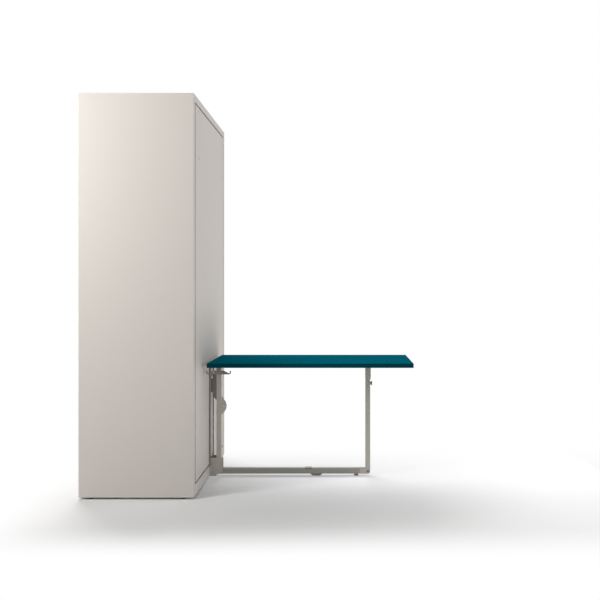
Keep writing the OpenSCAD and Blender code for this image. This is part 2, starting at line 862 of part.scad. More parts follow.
// Half-disc lugs on both faces of the tube, which carry the drive link's pin
module arm_lug_plates() {
    sag = 28;
    centre = [arm_x1 + sag - lug_r, lug[1]];
    color(steel_c) both() slab(rail_y, lug_y1) difference() {
        intersection() {
            disc(centre, lug_r);
            rect([arm_x1 - tube_w / 2, lug[1] - lug_r], [arm_x1 + sag + 1, lug[1] + lug_r]);
        }
        disc(lug, rivet_r);
    }
}

// Plate at the back of the tube, which carries the buffer; its lower edge runs at 45 degrees
module arm_gusset() {
    back = arm_x0 - gusset_reach;
    color(dark_steel_c) linear_extrude_y(2) polygon([
        [arm_x0, gusset_z0], [arm_x0, gusset_z1], [back, gusset_z1], [back, gusset_z0 + gusset_reach + 3]
    ]);
}

// Strip between the gusset and the panel's channel
module arm_buffer() {
    half = 5;
    color(pale_c) block([cab_d + plate_t + play, -half, gusset_z0 + 51],
                        [arm_x0 - gusset_reach, half, gusset_z1 - 30]);
}

// Rivets in the lugs, flush inside so that the rail fits between the lugs when the arm is down.
// The near one has a domed head; the far one is hollow, longer and carries the drive link
module lug_rivet() {
    flare = 1.5;
    head = rivet_r + 2.5;
    dome = 4;
    dome_r = (head * head + dome * dome) / (2 * dome);
    color(zinc_c) {
        bar_y(lug, rivet_r, -lug_y1, -rail_y);
        intersection() {
            translate([lug[0], dome_r - dome - lug_y1, lug[1]]) sphere(r = dome_r);
            bar_y(lug, head + 1, -lug_y1 - dome - 1, -lug_y1);
        }
        difference() {
            union() {
                bar_y(lug, rivet_r, rail_y, link_y1 + play);
                bar_y(lug, head, link_y1 + play, link_y1 + play + flare);
            }
            bar_y(lug, rivet_bore_r, rail_y - 1, link_y1 + play + flare + 1);
        }
    }
}

// Flat link from the lug to the panel: it keeps the arm and the bed panel parallel
module drive_link() {
    along = link_pin - lug;
    length = norm(along);
    tilt = atan2(along[0], along[1]);
    color(dark_steel_c) difference() {
        slab(link_y0, link_y1) {
            disc(lug, link_eye_r);
            disc(link_pin, link_eye_r);
            translate(lug) rotate(-tilt) translate([-link_w / 2, 0]) square([link_w, length]);
        }
        bar_y(lug, rivet_r + run, link_y0 - 1, link_y1 + 1);
        bar_y(link_pin, link_pin_r + open_play, link_y0 - 1, link_y1 + 1);
    }
}

// ---- Desk ----

module desk_top() {
    color(desk_c) difference() {
        block([desk_x0, -desk_w / 2, desk_z0], [desk_x1, desk_w / 2, desk_h]);
        for (p = desk_screw_at)
            translate([p[0], p[1], desk_z0 - 1]) cylinder(r = screw_r, h = desk_screw_l + 1);
    }
}

// Flange under the desk with two ears outside the arm's hinge plates
module desk_rear_bracket() {
    y0 = lug_y1;
    y1 = lug_y1 + plate_t;
    color(steel_c) difference() {
        union() {
            block([desk_x0 + 2, -45, desk_z0 - plate_t], [desk_x0 + 94, 45, desk_z0]);
            both() slab(y0, y1) {
                disc(high_arm, 12);
                polygon([[high_arm[0] - 10, desk_z0 - plate_t], [high_arm[0] - 12, high_arm[1]],
                         [high_arm[0], high_arm[1] - 12], [high_arm[0] + 60, desk_z0 - plate_t]]);
            }
            bar_y(high_arm, bolt_r + 3, y1, y1 + 3);
            mirror([0, 1, 0]) bar_y(high_arm, bolt_r + 3, y1, y1 + 3);
            bar_y(high_arm, bolt_r, -y1 - 3, y1 + 3);
        }
        for (p = rear_screws)
            translate([p[0], p[1], desk_z0 - plate_t - 1]) cylinder(r = screw_r, h = plate_t + 2);
    }
}

// Sleeve under the desk that is open to the back, where the front leg folds away
module desk_front_bracket() {
    z0 = leg_top[1] - 21;
    x0 = leg_px - leg_r;
    x1 = leg_px + leg_r + play;
    flange = [40, 45];
    color(steel_c) difference() {
        union() {
            both() block([x0, rail_y, z0], [x1, lug_y1, desk_z0 - plate_t]);
            block([x1, -lug_y1, z0], [x1 + plate_t, lug_y1, desk_z0 - plate_t]);
            block([leg_px - flange[0], -flange[1], desk_z0 - plate_t],
                  [leg_px + flange[0], flange[1], desk_z0]);
            bolt_y(leg_top, bolt_r, lug_y1, bolt_r - 0.5);
        }
        for (p = front_screws)
            translate([p[0], p[1], desk_z0 - plate_t - 1]) cylinder(r = screw_r, h = plate_t + 2);
    }
}

// Double swan-neck hooks under the desk's rear corners
module desk_hooks() {
    color(dark_steel_c) both() {
        slab(hook_y, hook_y + hook_t) hook_profile();
        difference() {
            block([hook_x - 22, hook_y, desk_z0 - 3], [hook_x + 22, hook_y + 24, desk_z0]);
            for (p = hook_screws) translate([p[0], p[1], desk_z0 - 4]) cylinder(r = screw_r, h = 5);
        }
    }
}

// Side view of a hook: a rounded body on a stem, with a tapered neck and an upturned curl at
// each end
module hook_profile() {
    span = 73;
    low = desk_z0 - 47;
    curl = 11;
    bar = 6.5;
    mid = span - curl;
    body_r = 11.5;
    body_x = 28;
    stem_x = 11;
    tip_z = low + 22 - bar / 2;
    rect([hook_x - stem_x, low + body_r], [hook_x + stem_x, desk_z0]);
    rect([hook_x - body_x, low], [hook_x + body_x, low + 2 * body_r]);
    for (s = [-1, 1]) {
        disc([hook_x + s * body_x, low + body_r], body_r);
        translate([hook_x, low]) polygon([
            [s * body_x, 0], [s * mid, 0], [s * mid, bar], [s * (mid - 5), bar + 2.5],
            [s * (body_x + 8), 2 * body_r - 4], [s * body_x, 2 * body_r - 4]
        ]);
        translate([hook_x + s * mid, low + curl]) intersection() {
            difference() {
                circle(r = curl);
                circle(r = curl - bar);
            }
            translate([s < 0 ? -curl - 1 : 0, -curl - 1]) square([curl + 1, curl + 1]);
        }
        rect([hook_x + s * (span - bar / 2) - bar / 2, low + curl],
             [hook_x + s * (span - bar / 2) + bar / 2, tip_z]);
        disc([hook_x + s * (span - bar / 2), tip_z], bar / 2);
    }
}

// Pan-head screws that hold the brackets and hooks to the desk top
module desk_screws() {
    color(zinc_c) for (p = desk_screw_at) translate([p[0], p[1], desk_z0 - plate_t]) {
        cylinder(r = screw_r, h = plate_t + desk_screw_l);
        translate([0, 0, -2.2]) cylinder(r = 2 * screw_r, h = 2.2);
    }
}

// ---- Front leg ----

// Side view of the leg: straight between its pivots, round about each of them
module leg_profile(r) {
    disc([leg_px, leg_pz], r);
    disc(leg_top, r);
    rect([leg_px - r, leg_pz], [leg_px + r, leg_top[1]]);
}

module front_leg() {
    color(steel_c) difference() {
        linear_extrude_y(leg_y) leg_profile(leg_r);
        block([leg_px - leg_r + tube_t, tube_t - leg_y, 0],
              [leg_px + leg_r - tube_t, leg_y - tube_t, desk_z0]);
        for (z = [leg_pz, leg_top[1]]) bar_y([leg_px, z], bolt_r + run, -leg_y - 1, leg_y + 1);
        bar_x(leg_px + leg_r - tube_t - 1, leg_px + leg_r + 1, 0, leg_foot_z, foot_stud_r);
    }
}

// End plugs of the leg's tube, and the foot that it rests on when it lies folded
module leg_fittings() {
    foot_h = leg_pz - leg_r - 1;
    x1 = leg_px + leg_r;
    color(pale_c) difference() {
        intersection() {
            linear_extrude_y(leg_y - tube_t) leg_profile(leg_r);
            union() for (z = [leg_pz - leg_r, leg_top[1] - 14])
                block([leg_px - leg_r + tube_t, -leg_y, z], [x1 - tube_t, leg_y, z + leg_r + 14]);
        }
        for (z = [leg_pz, leg_top[1]]) bar_y([leg_px, z], bolt_r + run, -leg_y - 1, leg_y + 1);
    }
    color(dark_steel_c) translate([x1 + foot_h, 0, leg_foot_z]) rotate([0, -90, 0]) cone_foot(foot_h, 14, 8);
}

// ---- Drop legs ----

module drop_leg(side) {
    back_edge = 6;
    y0 = side * drop_y - drop_w / 2;
    y1 = side * drop_y + drop_w / 2;
    z0 = drop_pz - drop_len;
    color(board_c) difference() {
        slab(y0, y1) {
            polygon([
                [panel_x0, z0 + drop_foot], [cab_d, z0 + drop_foot], [cab_d, drop_top - drop_edge],
                [cab_d - drop_edge, drop_top], [panel_x0 + back_edge, drop_top],
                [panel_x0, drop_top - back_edge]
            ]);
            rect([panel_x0 + 2, z0], [cab_d - 2, z0 + drop_foot]);
        }
        bar_y([drop_px, drop_pz], drop_pin_r + run, y0 - 1, y1 + 1);
    }
}

module drop_leg_left() {
    drop_leg(-1);
}

module drop_leg_right() {
    drop_leg(1);
}

// ---- Gas springs ----

// Drawn hanging straight down from the fixed stud, then tilted to its place
module hang_from_stud(side) {
    translate([gas_fix[0], side * gas_y, gas_fix[1]]) rotate([0, gas_tilt, 0]) children();
}

// Eye, body tube with its bore, and the end wall that guides the rod
module gas_cylinder(side) {
    neck = 24;
    end_wall = 8;
    color(dark_steel_c) hang_from_stud(side) difference() {
        union() {
            bar_y([0, 0], gas_eye_r, -gas_eye_w / 2, gas_eye_w / 2);
            translate([0, 0, -neck]) cylinder(r = gas_rod_r + 2, h = neck);
            translate([0, 0, -gas_l]) cylinder(r = gas_r, h = gas_l - neck);
        }
        bar_y([0, 0], gas_stud_r + run, -gas_eye_w, gas_eye_w);
        translate([0, 0, end_wall - gas_l]) cylinder(r = gas_r - 1.5, h = gas_l - neck - 2 * end_wall);
        translate([0, 0, -gas_l - 1]) cylinder(r = gas_rod_r + run, h = end_wall + 2);
    }
}

// Piston, rod and lower eye
module gas_rod(side) {
    inside = 26;
    color(zinc_c) hang_from_stud(side) difference() {
        union() {
            translate([0, 0, -gas_len]) cylinder(r = gas_rod_r, h = gas_len - gas_l + inside);
            translate([0, 0, inside - 8 - gas_l]) cylinder(r = gas_r - 1.5 - play, h = 8);
            bar_y([0, -gas_len], gas_eye_r, -gas_eye_w / 2, gas_eye_w / 2);
        }
        bar_y([0, -gas_len], gas_stud_r + open_play, -gas_eye_w, gas_eye_w);
    }
}

module gas_cylinder_left() {
    gas_cylinder(-1);
}

module gas_cylinder_right() {
    gas_cylinder(1);
}

module gas_rod_left() {
    gas_rod(-1);
}

module gas_rod_right() {
    gas_rod(1);
}

in_room() side_panel_left();
in_room() side_panel_right();
in_room() top_panel();
in_room() plinth_board();
in_room() back_panel_upper();
in_room() back_panel_lower();
in_room() back_joint_strip();
in_room() back_rail_top();
in_room() back_rail_bottom();
in_room() headboard_panel();
in_room() headboard_shelf();
in_room() cabinet_glides();
in_room() pivot_brackets();
in_room() pivot_bushes();
in_room() stop_buffers();
in_room() strut_brackets();
in_room() base_bracket();
in_room() base_bracket_pad();
in_room() floor_rail();
in_room() rail_end_ears();
in_room() rail_foot();
in_room() levelling_foot();
in_room() rail_landing_pad();
in_room() arm_pivot_bolt();
in_room() leg_pivot_bolt();
in_room() cabinet_screws();
in_room() front_panel();
in_room() bed_side_rail_left();
in_room() bed_side_rail_right();
in_room() bed_end_rails();
in_room() slats();
in_room() slat_holders();
in_room() mattress();
in_room() mattress_retainer();
in_room() bedding_straps();
in_room() strap_buckles();
in_room() pivot_pins();
in_room() panel_channel();
in_room() panel_link_bracket();
in_room() drop_leg_pins();
in_room() rear_arm();
in_room() arm_hinge_plates();
in_room() arm_lug_plates();
in_room() arm_gusset();
in_room() arm_buffer();
in_room() lug_rivet();
in_room() drive_link();
in_room() desk_top();
in_room() desk_rear_bracket();
in_room() desk_front_bracket();
in_room() desk_hooks();
in_room() desk_screws();
in_room() front_leg();
in_room() leg_fittings();
in_room() drop_leg_left();
in_room() drop_leg_right();
in_room() gas_cylinder_left();
in_room() gas_cylinder_right();
in_room() gas_rod_left();
in_room() gas_rod_right();
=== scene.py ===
"""Finishes for a wall bed with a fold down desk: lacquer, powder coat, bedding and a studio."""

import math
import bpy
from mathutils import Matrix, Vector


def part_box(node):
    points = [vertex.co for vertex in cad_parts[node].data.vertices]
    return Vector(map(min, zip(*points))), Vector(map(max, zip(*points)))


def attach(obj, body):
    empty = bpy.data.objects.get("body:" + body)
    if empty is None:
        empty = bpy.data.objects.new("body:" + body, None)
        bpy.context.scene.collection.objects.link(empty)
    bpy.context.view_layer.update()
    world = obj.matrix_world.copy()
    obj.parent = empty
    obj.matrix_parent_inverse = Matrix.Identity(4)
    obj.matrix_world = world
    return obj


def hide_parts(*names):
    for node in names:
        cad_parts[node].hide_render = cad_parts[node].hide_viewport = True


bl_info = {
    "name": "Wall Bed Finisher",
    "version": (1, 0, 0),
    "blender": (4, 5, 0),
    "location": "View3D > Sidebar > Wall bed",
    "description": "Dresses the frame of a wall bed and its desk, and sets up a pale studio",
    "category": "Object",
}

import bmesh
import bpy
from bpy.props import FloatProperty, FloatVectorProperty, IntProperty, PointerProperty
from mathutils import Vector
from mathutils.bvhtree import BVHTree

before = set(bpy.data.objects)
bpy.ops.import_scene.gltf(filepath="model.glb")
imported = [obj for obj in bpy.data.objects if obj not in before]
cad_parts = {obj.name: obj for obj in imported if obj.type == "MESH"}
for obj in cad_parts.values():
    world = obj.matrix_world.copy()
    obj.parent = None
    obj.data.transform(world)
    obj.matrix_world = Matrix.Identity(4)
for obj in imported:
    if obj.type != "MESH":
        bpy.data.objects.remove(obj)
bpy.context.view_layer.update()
PHOTO_PX = 600

# Nodes of the frame by the finish that they wear
CABINET_FINISHES = {
    "board": ["side_panel_left", "side_panel_right", "top_panel", "plinth_board", "headboard_panel",
              "headboard_shelf", "back_rail_top", "back_rail_bottom", "drop_leg_left", "drop_leg_right"],
    # The bed panel's lacquer has a dark rim, partly edge band and partly painted shade of the gap round it
    "rim_gap_shaded": ["front_panel"],
    "back": ["back_panel_upper", "back_panel_lower", "back_joint_strip"],
    "rubber": ["stop_buffers"],
    "pad": ["base_bracket_pad"],
    "nylon": ["cabinet_glides", "pivot_bushes", "slat_holders", "strap_buckles"],
    "pale": ["leg_fittings"],
}
STEEL_FINISHES = {
    "steel": ["base_bracket", "rail_end_ears", "rear_arm", "arm_hinge_plates", "arm_lug_plates", "front_leg",
              "desk_rear_bracket", "desk_front_bracket", "panel_link_bracket", "arm_pivot_bolt"],
    "channel": ["panel_channel"],
    # The floor rail's darker coat is painted shade
    "rail": ["floor_rail"],
    # The rail foot wears the dark coat partly as its own colour and partly as painted shade under the rail
    "dark_steel": ["arm_gusset", "drive_link", "desk_hooks", "levelling_foot", "leg_pivot_bolt",
                   "rail_foot", "rail_landing_pad", "arm_buffer", "gas_cylinder_left", "gas_cylinder_right"],
    "zinc": ["pivot_brackets", "strut_brackets", "cabinet_screws", "mattress_retainer", "pivot_pins",
             "drop_leg_pins", "lug_rivet", "desk_screws", "gas_rod_left", "gas_rod_right"],
}
BED_BASE_FINISHES = {
    "birch": ["bed_side_rail_left", "bed_side_rail_right", "bed_end_rails"],
    "slat": ["slats"],
}
RUBBER_NODES = ["stop_buffers", "base_bracket_pad", "rail_landing_pad"]
TUBE_NODES = ["floor_rail", "rear_arm", "front_leg"]
PLATE_NODES = ["base_bracket", "rail_foot", "arm_hinge_plates", "arm_lug_plates", "arm_gusset",
               "panel_channel", "panel_link_bracket", "desk_rear_bracket", "desk_front_bracket",
               "drive_link", "desk_hooks", "rail_end_ears"]

# Radii of the eased edges, in metres
BOARD_EDGE = 0.0012
PANEL_EDGE = 0.003
RUBBER_EDGE = 0.0008
TUBE_EDGE = 0.0025
PLATE_EDGE = 0.0005
DESK_EDGE = 0.0007

# Sprayed finishes: name, colour setting, grain per metre, contrast, roughness, bump, specular level
SPRAYED = {
    "board": ("Matt lacquer", "board", 700.0, 0.03, 0.55, 0.15, 0.3),
    "rim_gap_shaded": ("Banded lacquer", "board", 700.0, 0.03, 0.55, 0.15, 0.3),
    "back": ("Back board", "back_board", 420.0, 0.08, 0.7, 0.3, 0.2),
    "steel": ("Powder coat", "steel", 1500.0, 0.10, 0.48, 0.5, 0.5),
    "rail": ("Rail powder coat", "rail", 1500.0, 0.10, 0.5, 0.5, 0.4),
    "channel": ("Channel powder coat", "light_steel", 1500.0, 0.08, 0.5, 0.5, 0.4),
    "dark_steel": ("Dark powder coat", "dark_steel", 1500.0, 0.12, 0.5, 0.5, 0.45),
    "rubber": ("Rubber", "rubber", 1100.0, 0.25, 0.85, 0.5, 0.25),
    "pale": ("Pale plastic", "pale", 1300.0, 0.1, 0.55, 0.4, 0.3),
    "pad": ("Grey rubber", "pad", 1100.0, 0.2, 0.8, 0.5, 0.25),
    "nylon": ("Moulded nylon", "nylon", 1300.0, 0.15, 0.5, 0.4, 0.4),
    "desk": ("Desk laminate", "desk", 1400.0, 0.06, 0.7, 0.25, 0.0),
}
# Woven finishes: name, colour setting, shadow, threads, bump, its depth, specular level, sheen
WOVEN = {
    "ticking": ("Knitted ticking", "ticking", 0.1, 500.0, 0.3, 0.0006, 0.2, 0.3),
    "border": ("Border fabric", "border", 0.25, 900.0, 0.4, 0.0005, 0.2, 0.2),
    "webbing": ("Webbing", "webbing", 0.45, 1800.0, 0.6, 0.0004, 0.3, 0.1),
}

# Lamps: place and target, with X measured from the wall, then width and height, all in metres
LAMPS = {
    "key": ((1.2, -4.7, 1.2), (0.7, 0, 1.2), 2.0, 1.2),
    "accent": ((-0.8, -1.6, 2.3), (0.2, -0.5, 2.1), 0.6, 1.8),
    "side": ((-3.2, -2.5, 2.3), (0.6, -0.5, 0.6), 0.6, 0.8),
    "fill": ((3.4, -0.3, 3.2), (0.6, 0, 1.7), 1.6, 1.6),
    "low": ((3.4, 0.3, 0.55), (0.6, 0, 2.0), 0.8, 0.6),
    "main": ((-0.8, 4.7, 5.5), (0.9, -0.2, 0.3), 5.6, 2.4),
}


# ---- Settings ----

def size(label, text, default, low=0.0, high=10.0):
    """A length setting in metres."""
    return FloatProperty(name=label, description=text, default=default, min=low, max=high,
                         subtype="DISTANCE", unit="LENGTH")


def power(label, text, default):
    """A lamp's power in watts."""
    return FloatProperty(name=label, description=text, default=default, min=0.0,
                         subtype="POWER", unit="POWER")


def linear(value):
    """A display value from 0 to 255 as linear light."""
    v = value / 255
    return v / 12.92 if v <= 0.04045 else ((v + 0.055) / 1.055) ** 2.4


def colour(label, text, default):
    """A colour setting, given in display values from 0 to 255 and kept linear."""
    return FloatVectorProperty(name=label, description=text, default=[linear(v) for v in default],
                               size=3, min=0.0, max=1.0, subtype="COLOR")


class FinishSettings(bpy.types.PropertyGroup):
    """Colours of the finishes, with painted shade in the bed panel's rim, the channel's flanges, the desk's
    edges and the floor rail.
    """

    board: colour("Board", "Lacquer of the cabinet and the bed panel", (226, 219, 212))
    back_board: colour("Back board", "Thin board at the back of the cabinet", (214, 208, 200))
    # Painted shade: the bed panel's edge band is made dark to stand for the shade in the gap round the panel
    panel_edge_band_and_gap_shade: colour("Board edge", "Edge band of the bed panel", (112, 105, 100))
    steel: colour("Steel", "Powder coat of the tubes and brackets", (212, 207, 197))
    # Painted shade: the floor rail wears a darker copy of the steel's powder coat, standing for the shade
    # that it lies in
    rail: colour("Rail", "Powder coat of the floor rail", (182, 179, 172))
    light_steel: colour("Light steel", "Powder coat of the channel on the bed panel", (214, 208, 202))
    # Painted shade: the channel's flanges are darker than its web, standing for the shade of the gap between
    # bed panel and mechanism
    channel_flange_shade: colour("Channel edge", "Flanges of the channel on the bed panel", (140, 133, 126))
    dark_steel: colour("Dark steel", "Powder coat of the small steel parts", (150, 141, 131))
    zinc: colour("Zinc", "Plating of bolts, screws and pins", (196, 197, 196))
    rubber: colour("Rubber", "Stop buffers", (74, 63, 54))
    pale: colour("Pale plastic", "End plugs and foot of the front leg", (170, 165, 158))
    pad: colour("Bracket pad", "Rubber pad on the base bracket's bridge", (120, 110, 100))
    nylon: colour("Nylon", "Glides, bushes, buckles and slat holders", (58, 58, 60))
    birch: colour("Birch", "Slats and bed rails", (216, 186, 142))
    birch_grain: colour("Birch grain", "Darker lines in the birch", (182, 144, 98))
    desk: colour("Desk", "Laminate of the desk top", (4, 93, 110))
    # The desk's edge band is darker than its top, partly its own colour and partly painted shade on the
    # desk's sides
    desk_edge_band_and_shade: colour("Desk edge", "Edge band of the desk top", (3, 73, 88))
    ticking: colour("Ticking", "Knitted cover of the mattress", (232, 230, 224))
    border: colour("Border", "Side panels of the mattress cover", (196, 198, 199))
    webbing: colour("Webbing", "Straps over the bedding", (88, 91, 96))


class BedSettings(bpy.types.PropertyGroup):
    """Sizes of the bedding."""

    quilt_cells: IntProperty(name="Quilt cells", description="Faces between two stitched lines",
                             default=8, min=3, max=16)
    quilt: size("Quilt", "Distance between the stitched lines", 0.17, 0.05, 0.5)
    swell: size("Swell", "Most that the filling may stand proud", 0.008, 0.0, 0.03)
    edge_round: size("Edge", "Radius between the faces and the border", 0.02, 0.005, 0.05)
    corner_round: size("Corner", "Radius of the corners seen from above", 0.06, 0.02, 0.12)
    crown: size("Crown", "How much thicker the middle is than the edge", 0.006, 0.0, 0.02)
    piping_radius: size("Piping", "Radius of the piping round the mattress", 0.0045, 0.001, 0.01)
    strap_thickness: size("Strap thickness", "Thickness of the webbing", 0.002, 0.001, 0.005)
    strap_bend: size("Strap bend", "Radius of the webbing's bends", 0.01, 0.003, 0.03)
    stitch_length: size("Stitch", "Length of a stitch in the quilting and the webbing", 0.004, 0.001, 0.01)


class SteelSettings(bpy.types.PropertyGroup):
    """Sizes of the fasteners and welds."""

    screw_radius: size("Screw head", "Radius of a pan head on the channel", 0.0055, 0.002, 0.01)
    weld_radius: size("Weld", "Radius of a weld bead", 0.0018, 0.0005, 0.005)
    bead_step: size("Bead step", "Distance between the ripples of a weld", 0.0022, 0.0005, 0.01)
    channel_screws: IntProperty(name="Channel screws", description="Screws in one row down the channel",
                                default=6, min=2, max=20)
    rivet_radius: size("Rivet head", "Radius of the rivets in the hooks", 0.0055, 0.002, 0.01)


class StudioSettings(bpy.types.PropertyGroup):
    """Camera and lamps."""

    camera_x: size("Camera X", "Camera's distance from the wall plane", 1.452, 0.0, 5.0)
    camera_y: size("Camera Y", "Camera's place along the cabinet's width", -4.611, -10.0)
    camera_z: size("Camera Z", "Camera's height", 1.176, 0.0, 3.0)
    focal_px: FloatProperty(name="Focal length", description="Focal length in pixels of the photograph",
                            default=741.0, min=100.0)
    vanish_x: FloatProperty(name="Vanishing point X", default=342.0,
                            description="Pixels from the left of the photograph")
    vanish_y: FloatProperty(name="Vanishing point Y", default=286.0,
                            description="Pixels from the top of the photograph")
    sky: FloatProperty(name="Sky", description="Strength of the even light", default=0.255, min=0.0)
    key_power: power("Key", "Power of the large lamp at the front", 20.0)
    accent_power: power("Accent", "Power of the lamp near the side's top corner", 17.0)
    side_power: power("Side", "Power of the lamp at the far left", 66.0)
    fill_power: power("Fill", "Power of the lamp on the right", 14.0)
    low_power: power("Low", "Power of the lamp that looks in under the desk", 21.0)
    main_power: power("Main", "Power of the high lamp behind the desk", 405.0)


# ---- Node helpers ----

class Tree:
    """Short calls for building a node tree. Values may be sockets, which are linked, or plain values."""

    def __init__(self, tree):
        self.tree = tree

    def put(self, socket, value):
        """Links a socket into an input, or sets the input's value."""
        if isinstance(value, bpy.types.NodeSocket):
            self.tree.links.new(value, socket)
        else:
            socket.default_value = value

    def fill(self, node, **values):
        """Fills a node's inputs by name."""
        for key, value in values.items():
            self.put(node.inputs[key.replace("_", " ")], value)

    def add(self, kind, *given, **values):
        """A node: values set its properties or, by name, its inputs, and given ones its first inputs."""
        node = self.tree.nodes.new(kind)
        for key, value in values.items():
            if hasattr(node, key):
                setattr(node, key, value)
            else:
                self.fill(node, **{key: value})
        for socket, value in zip(node.inputs, given):
            if value is not None:
                self.put(socket, value)
        return node

    def math(self, operation, a, b=None, clamp=False):
        """A math node's result."""
        return self.add("ShaderNodeMath", a, b, operation=operation, use_clamp=clamp).outputs[0]

    def spread(self, value, amount, base, clamp=False):
        """The value times an amount, on top of a base."""
        return self.math("ADD", self.math("MULTIPLY", value, amount), base, clamp)

    def vary(self, noise, amount, base, clamp=False):
        """Moves a base up and down with a noise whose middle is a half."""
        return self.spread(self.math("SUBTRACT", noise, 0.5), amount, base, clamp)

    def above(self, noise, level, steepness):
        """Zero below a level of a noise, rising to one above it."""
        return self.math("MULTIPLY", self.math("SUBTRACT", noise, level), steepness, clamp=True)

    def mix(self, factor, a, b):
        """A mix of two colours."""
        node = self.add("ShaderNodeMix", data_type="RGBA")
        for socket, value in zip([s for s in node.inputs if s.enabled], (factor, a, b)):
            plain = isinstance(value, (float, bpy.types.NodeSocket))
            self.put(socket, value if plain else (*value[:3], 1.0))
        return next(s for s in node.outputs if s.enabled)

    def place(self):
        """Where a point of the surface is, on its object."""
        return self.add("ShaderNodeTexCoord").outputs["Object"]

    def stretched(self, counts):
        """The place, multiplied axis by axis."""
        return self.add("ShaderNodeVectorMath", self.place(), counts, operation="MULTIPLY").outputs[0]

    def noise(self, place, **values):
        """A noise texture's value."""
        return self.add("ShaderNodeTexNoise", Vector=place, **values).outputs["Fac"]

    def tinted(self, rgb, shade):
        """A colour made lighter or darker."""
        return self.add("ShaderNodeVectorMath", operation="SCALE", Vector=rgb, Scale=shade).outputs[0]


def cleared(owner):
    """The emptied node tree of a material or a world."""
    owner.use_nodes = True
    owner.node_tree.nodes.clear()
    return Tree(owner.node_tree)


# ---- Finishes ----

def new_group(name, inputs):
    """A group that gives a surface's colour, roughness and height: inputs are (name, type, default)."""
    group = bpy.data.node_groups.new(name, "ShaderNodeTree")
    for label, kind, default in inputs:
        socket = group.interface.new_socket(label, in_out="INPUT", socket_type="NodeSocket" + kind)
        socket.default_value = default
    for label, kind in (("Color", "Color"), ("Roughness", "Float"), ("Height", "Float")):
        group.interface.new_socket(label, in_out="OUTPUT", socket_type="NodeSocket" + kind)
    given = group.nodes.new("NodeGroupInput").outputs
    return group, Tree(group), given, group.nodes.new("NodeGroupOutput")


def surface_group():
    """Fine texture and slow variation of a sprayed, moulded or laminated surface."""
    group, t, given, out = new_group(
        "Sprayed surface",
        [("Color", "Color", (0.5, 0.5, 0.5, 1)), ("Grain scale", "Float", 900.0),
         ("Cloud scale", "Float", 2.5), ("Contrast", "Float", 0.04),
         ("Roughness", "Float", 0.5), ("Spread", "Float", 0.08)])
    place = t.place()
    grain = t.noise(place, Scale=given["Grain scale"], Detail=3.0)
    cloud = t.noise(place, Scale=given["Cloud scale"], Detail=4.0)
    grain_share = 0.4
    mixed = t.spread(grain, grain_share, t.math("MULTIPLY", cloud, 1 - grain_share))
    shade = t.vary(mixed, given["Contrast"], 1.0)
    rough = t.vary(cloud, given["Spread"], given["Roughness"], clamp=True)
    t.fill(out, Color=t.tinted(given["Color"], shade), Roughness=rough, Height=grain)
    return group


def brushed_group():
    """Fine drawn streaks along one axis, for plated and drawn steel."""
    group, t, given, out = new_group(
        "Brushed streaks",
        [("Color", "Color", (0.7, 0.7, 0.7, 1)), ("Across", "Vector", (900.0, 900.0, 40.0)),
         ("Contrast", "Float", 0.2), ("Roughness", "Float", 0.35)])
    streaks = t.noise(t.stretched(given["Across"]), Scale=1.0, Detail=2.0)
    shade = t.vary(streaks, given["Contrast"], 1.0)
    rough = t.spread(streaks, 0.15, given["Roughness"])
    t.fill(out, Color=t.tinted(given["Color"], shade), Roughness=rough, Height=streaks)
    return group


def grain_group():
    """Wood grain: warped growth lines with short pores, running along Stretch's smallest axis."""
    group, t, given, out = new_group(
        "Wood grain",
        [("Color", "Color", (0.7, 0.55, 0.35, 1)), ("Grain color", "Color", (0.5, 0.33, 0.18, 1)),
         ("Stretch", "Vector", (60.0, 60.0, 3.0)), ("Amount", "Float", 0.5)])
    place = t.stretched(given["Stretch"])
    lines = t.above(t.noise(place, Scale=1.0, Detail=5.0, Distortion=1.2), 0.42, 3.5)
    pores = t.above(t.noise(place, Scale=6.0, Detail=2.0), 0.58, 4.0)
    dark = t.math("MULTIPLY", t.math("ADD", lines, pores, clamp=True), given["Amount"])
    t.fill(out, Color=t.mix(dark, given["Color"], given["Grain color"]),
           Roughness=t.spread(dark, 0.15, 0.42), Height=t.math("SUBTRACT", 1.0, dark))
    return group


def weave_group():
    """Two crossing sets of threads, with slubs, for ticking and webbing."""
    group, t, given, out = new_group(
        "Weave",
        [("Color", "Color", (0.8, 0.8, 0.8, 1)), ("Threads", "Vector", (500.0, 500.0, 500.0)),
         ("Shadow", "Float", 0.3)])
    axes = t.add("ShaderNodeSeparateXYZ", t.stretched(given["Threads"])).outputs
    across = t.math("SINE", t.math("ADD", axes["X"], axes["Y"]))
    along = t.math("SINE", t.math("ADD", axes["Z"], t.math("MULTIPLY", axes["X"], 0.5)))
    knit = t.spread(t.math("MULTIPLY", across, along), 0.5, 0.5)
    slub = t.noise(t.place(), Scale=60.0, Detail=4.0)
    low = t.math("MULTIPLY", t.math("SUBTRACT", 1.0, knit), given["Shadow"])
    tone = t.math("SUBTRACT", t.spread(slub, 0.12, 0.94), low)
    t.fill(out, Color=t.tinted(given["Color"], tone), Roughness=t.spread(slub, 0.1, 0.82), Height=knit)
    return group


GROUP_MAKERS = {"surface": surface_group, "brushed": brushed_group,
                "grain": grain_group, "weave": weave_group}
GROUPS = {}


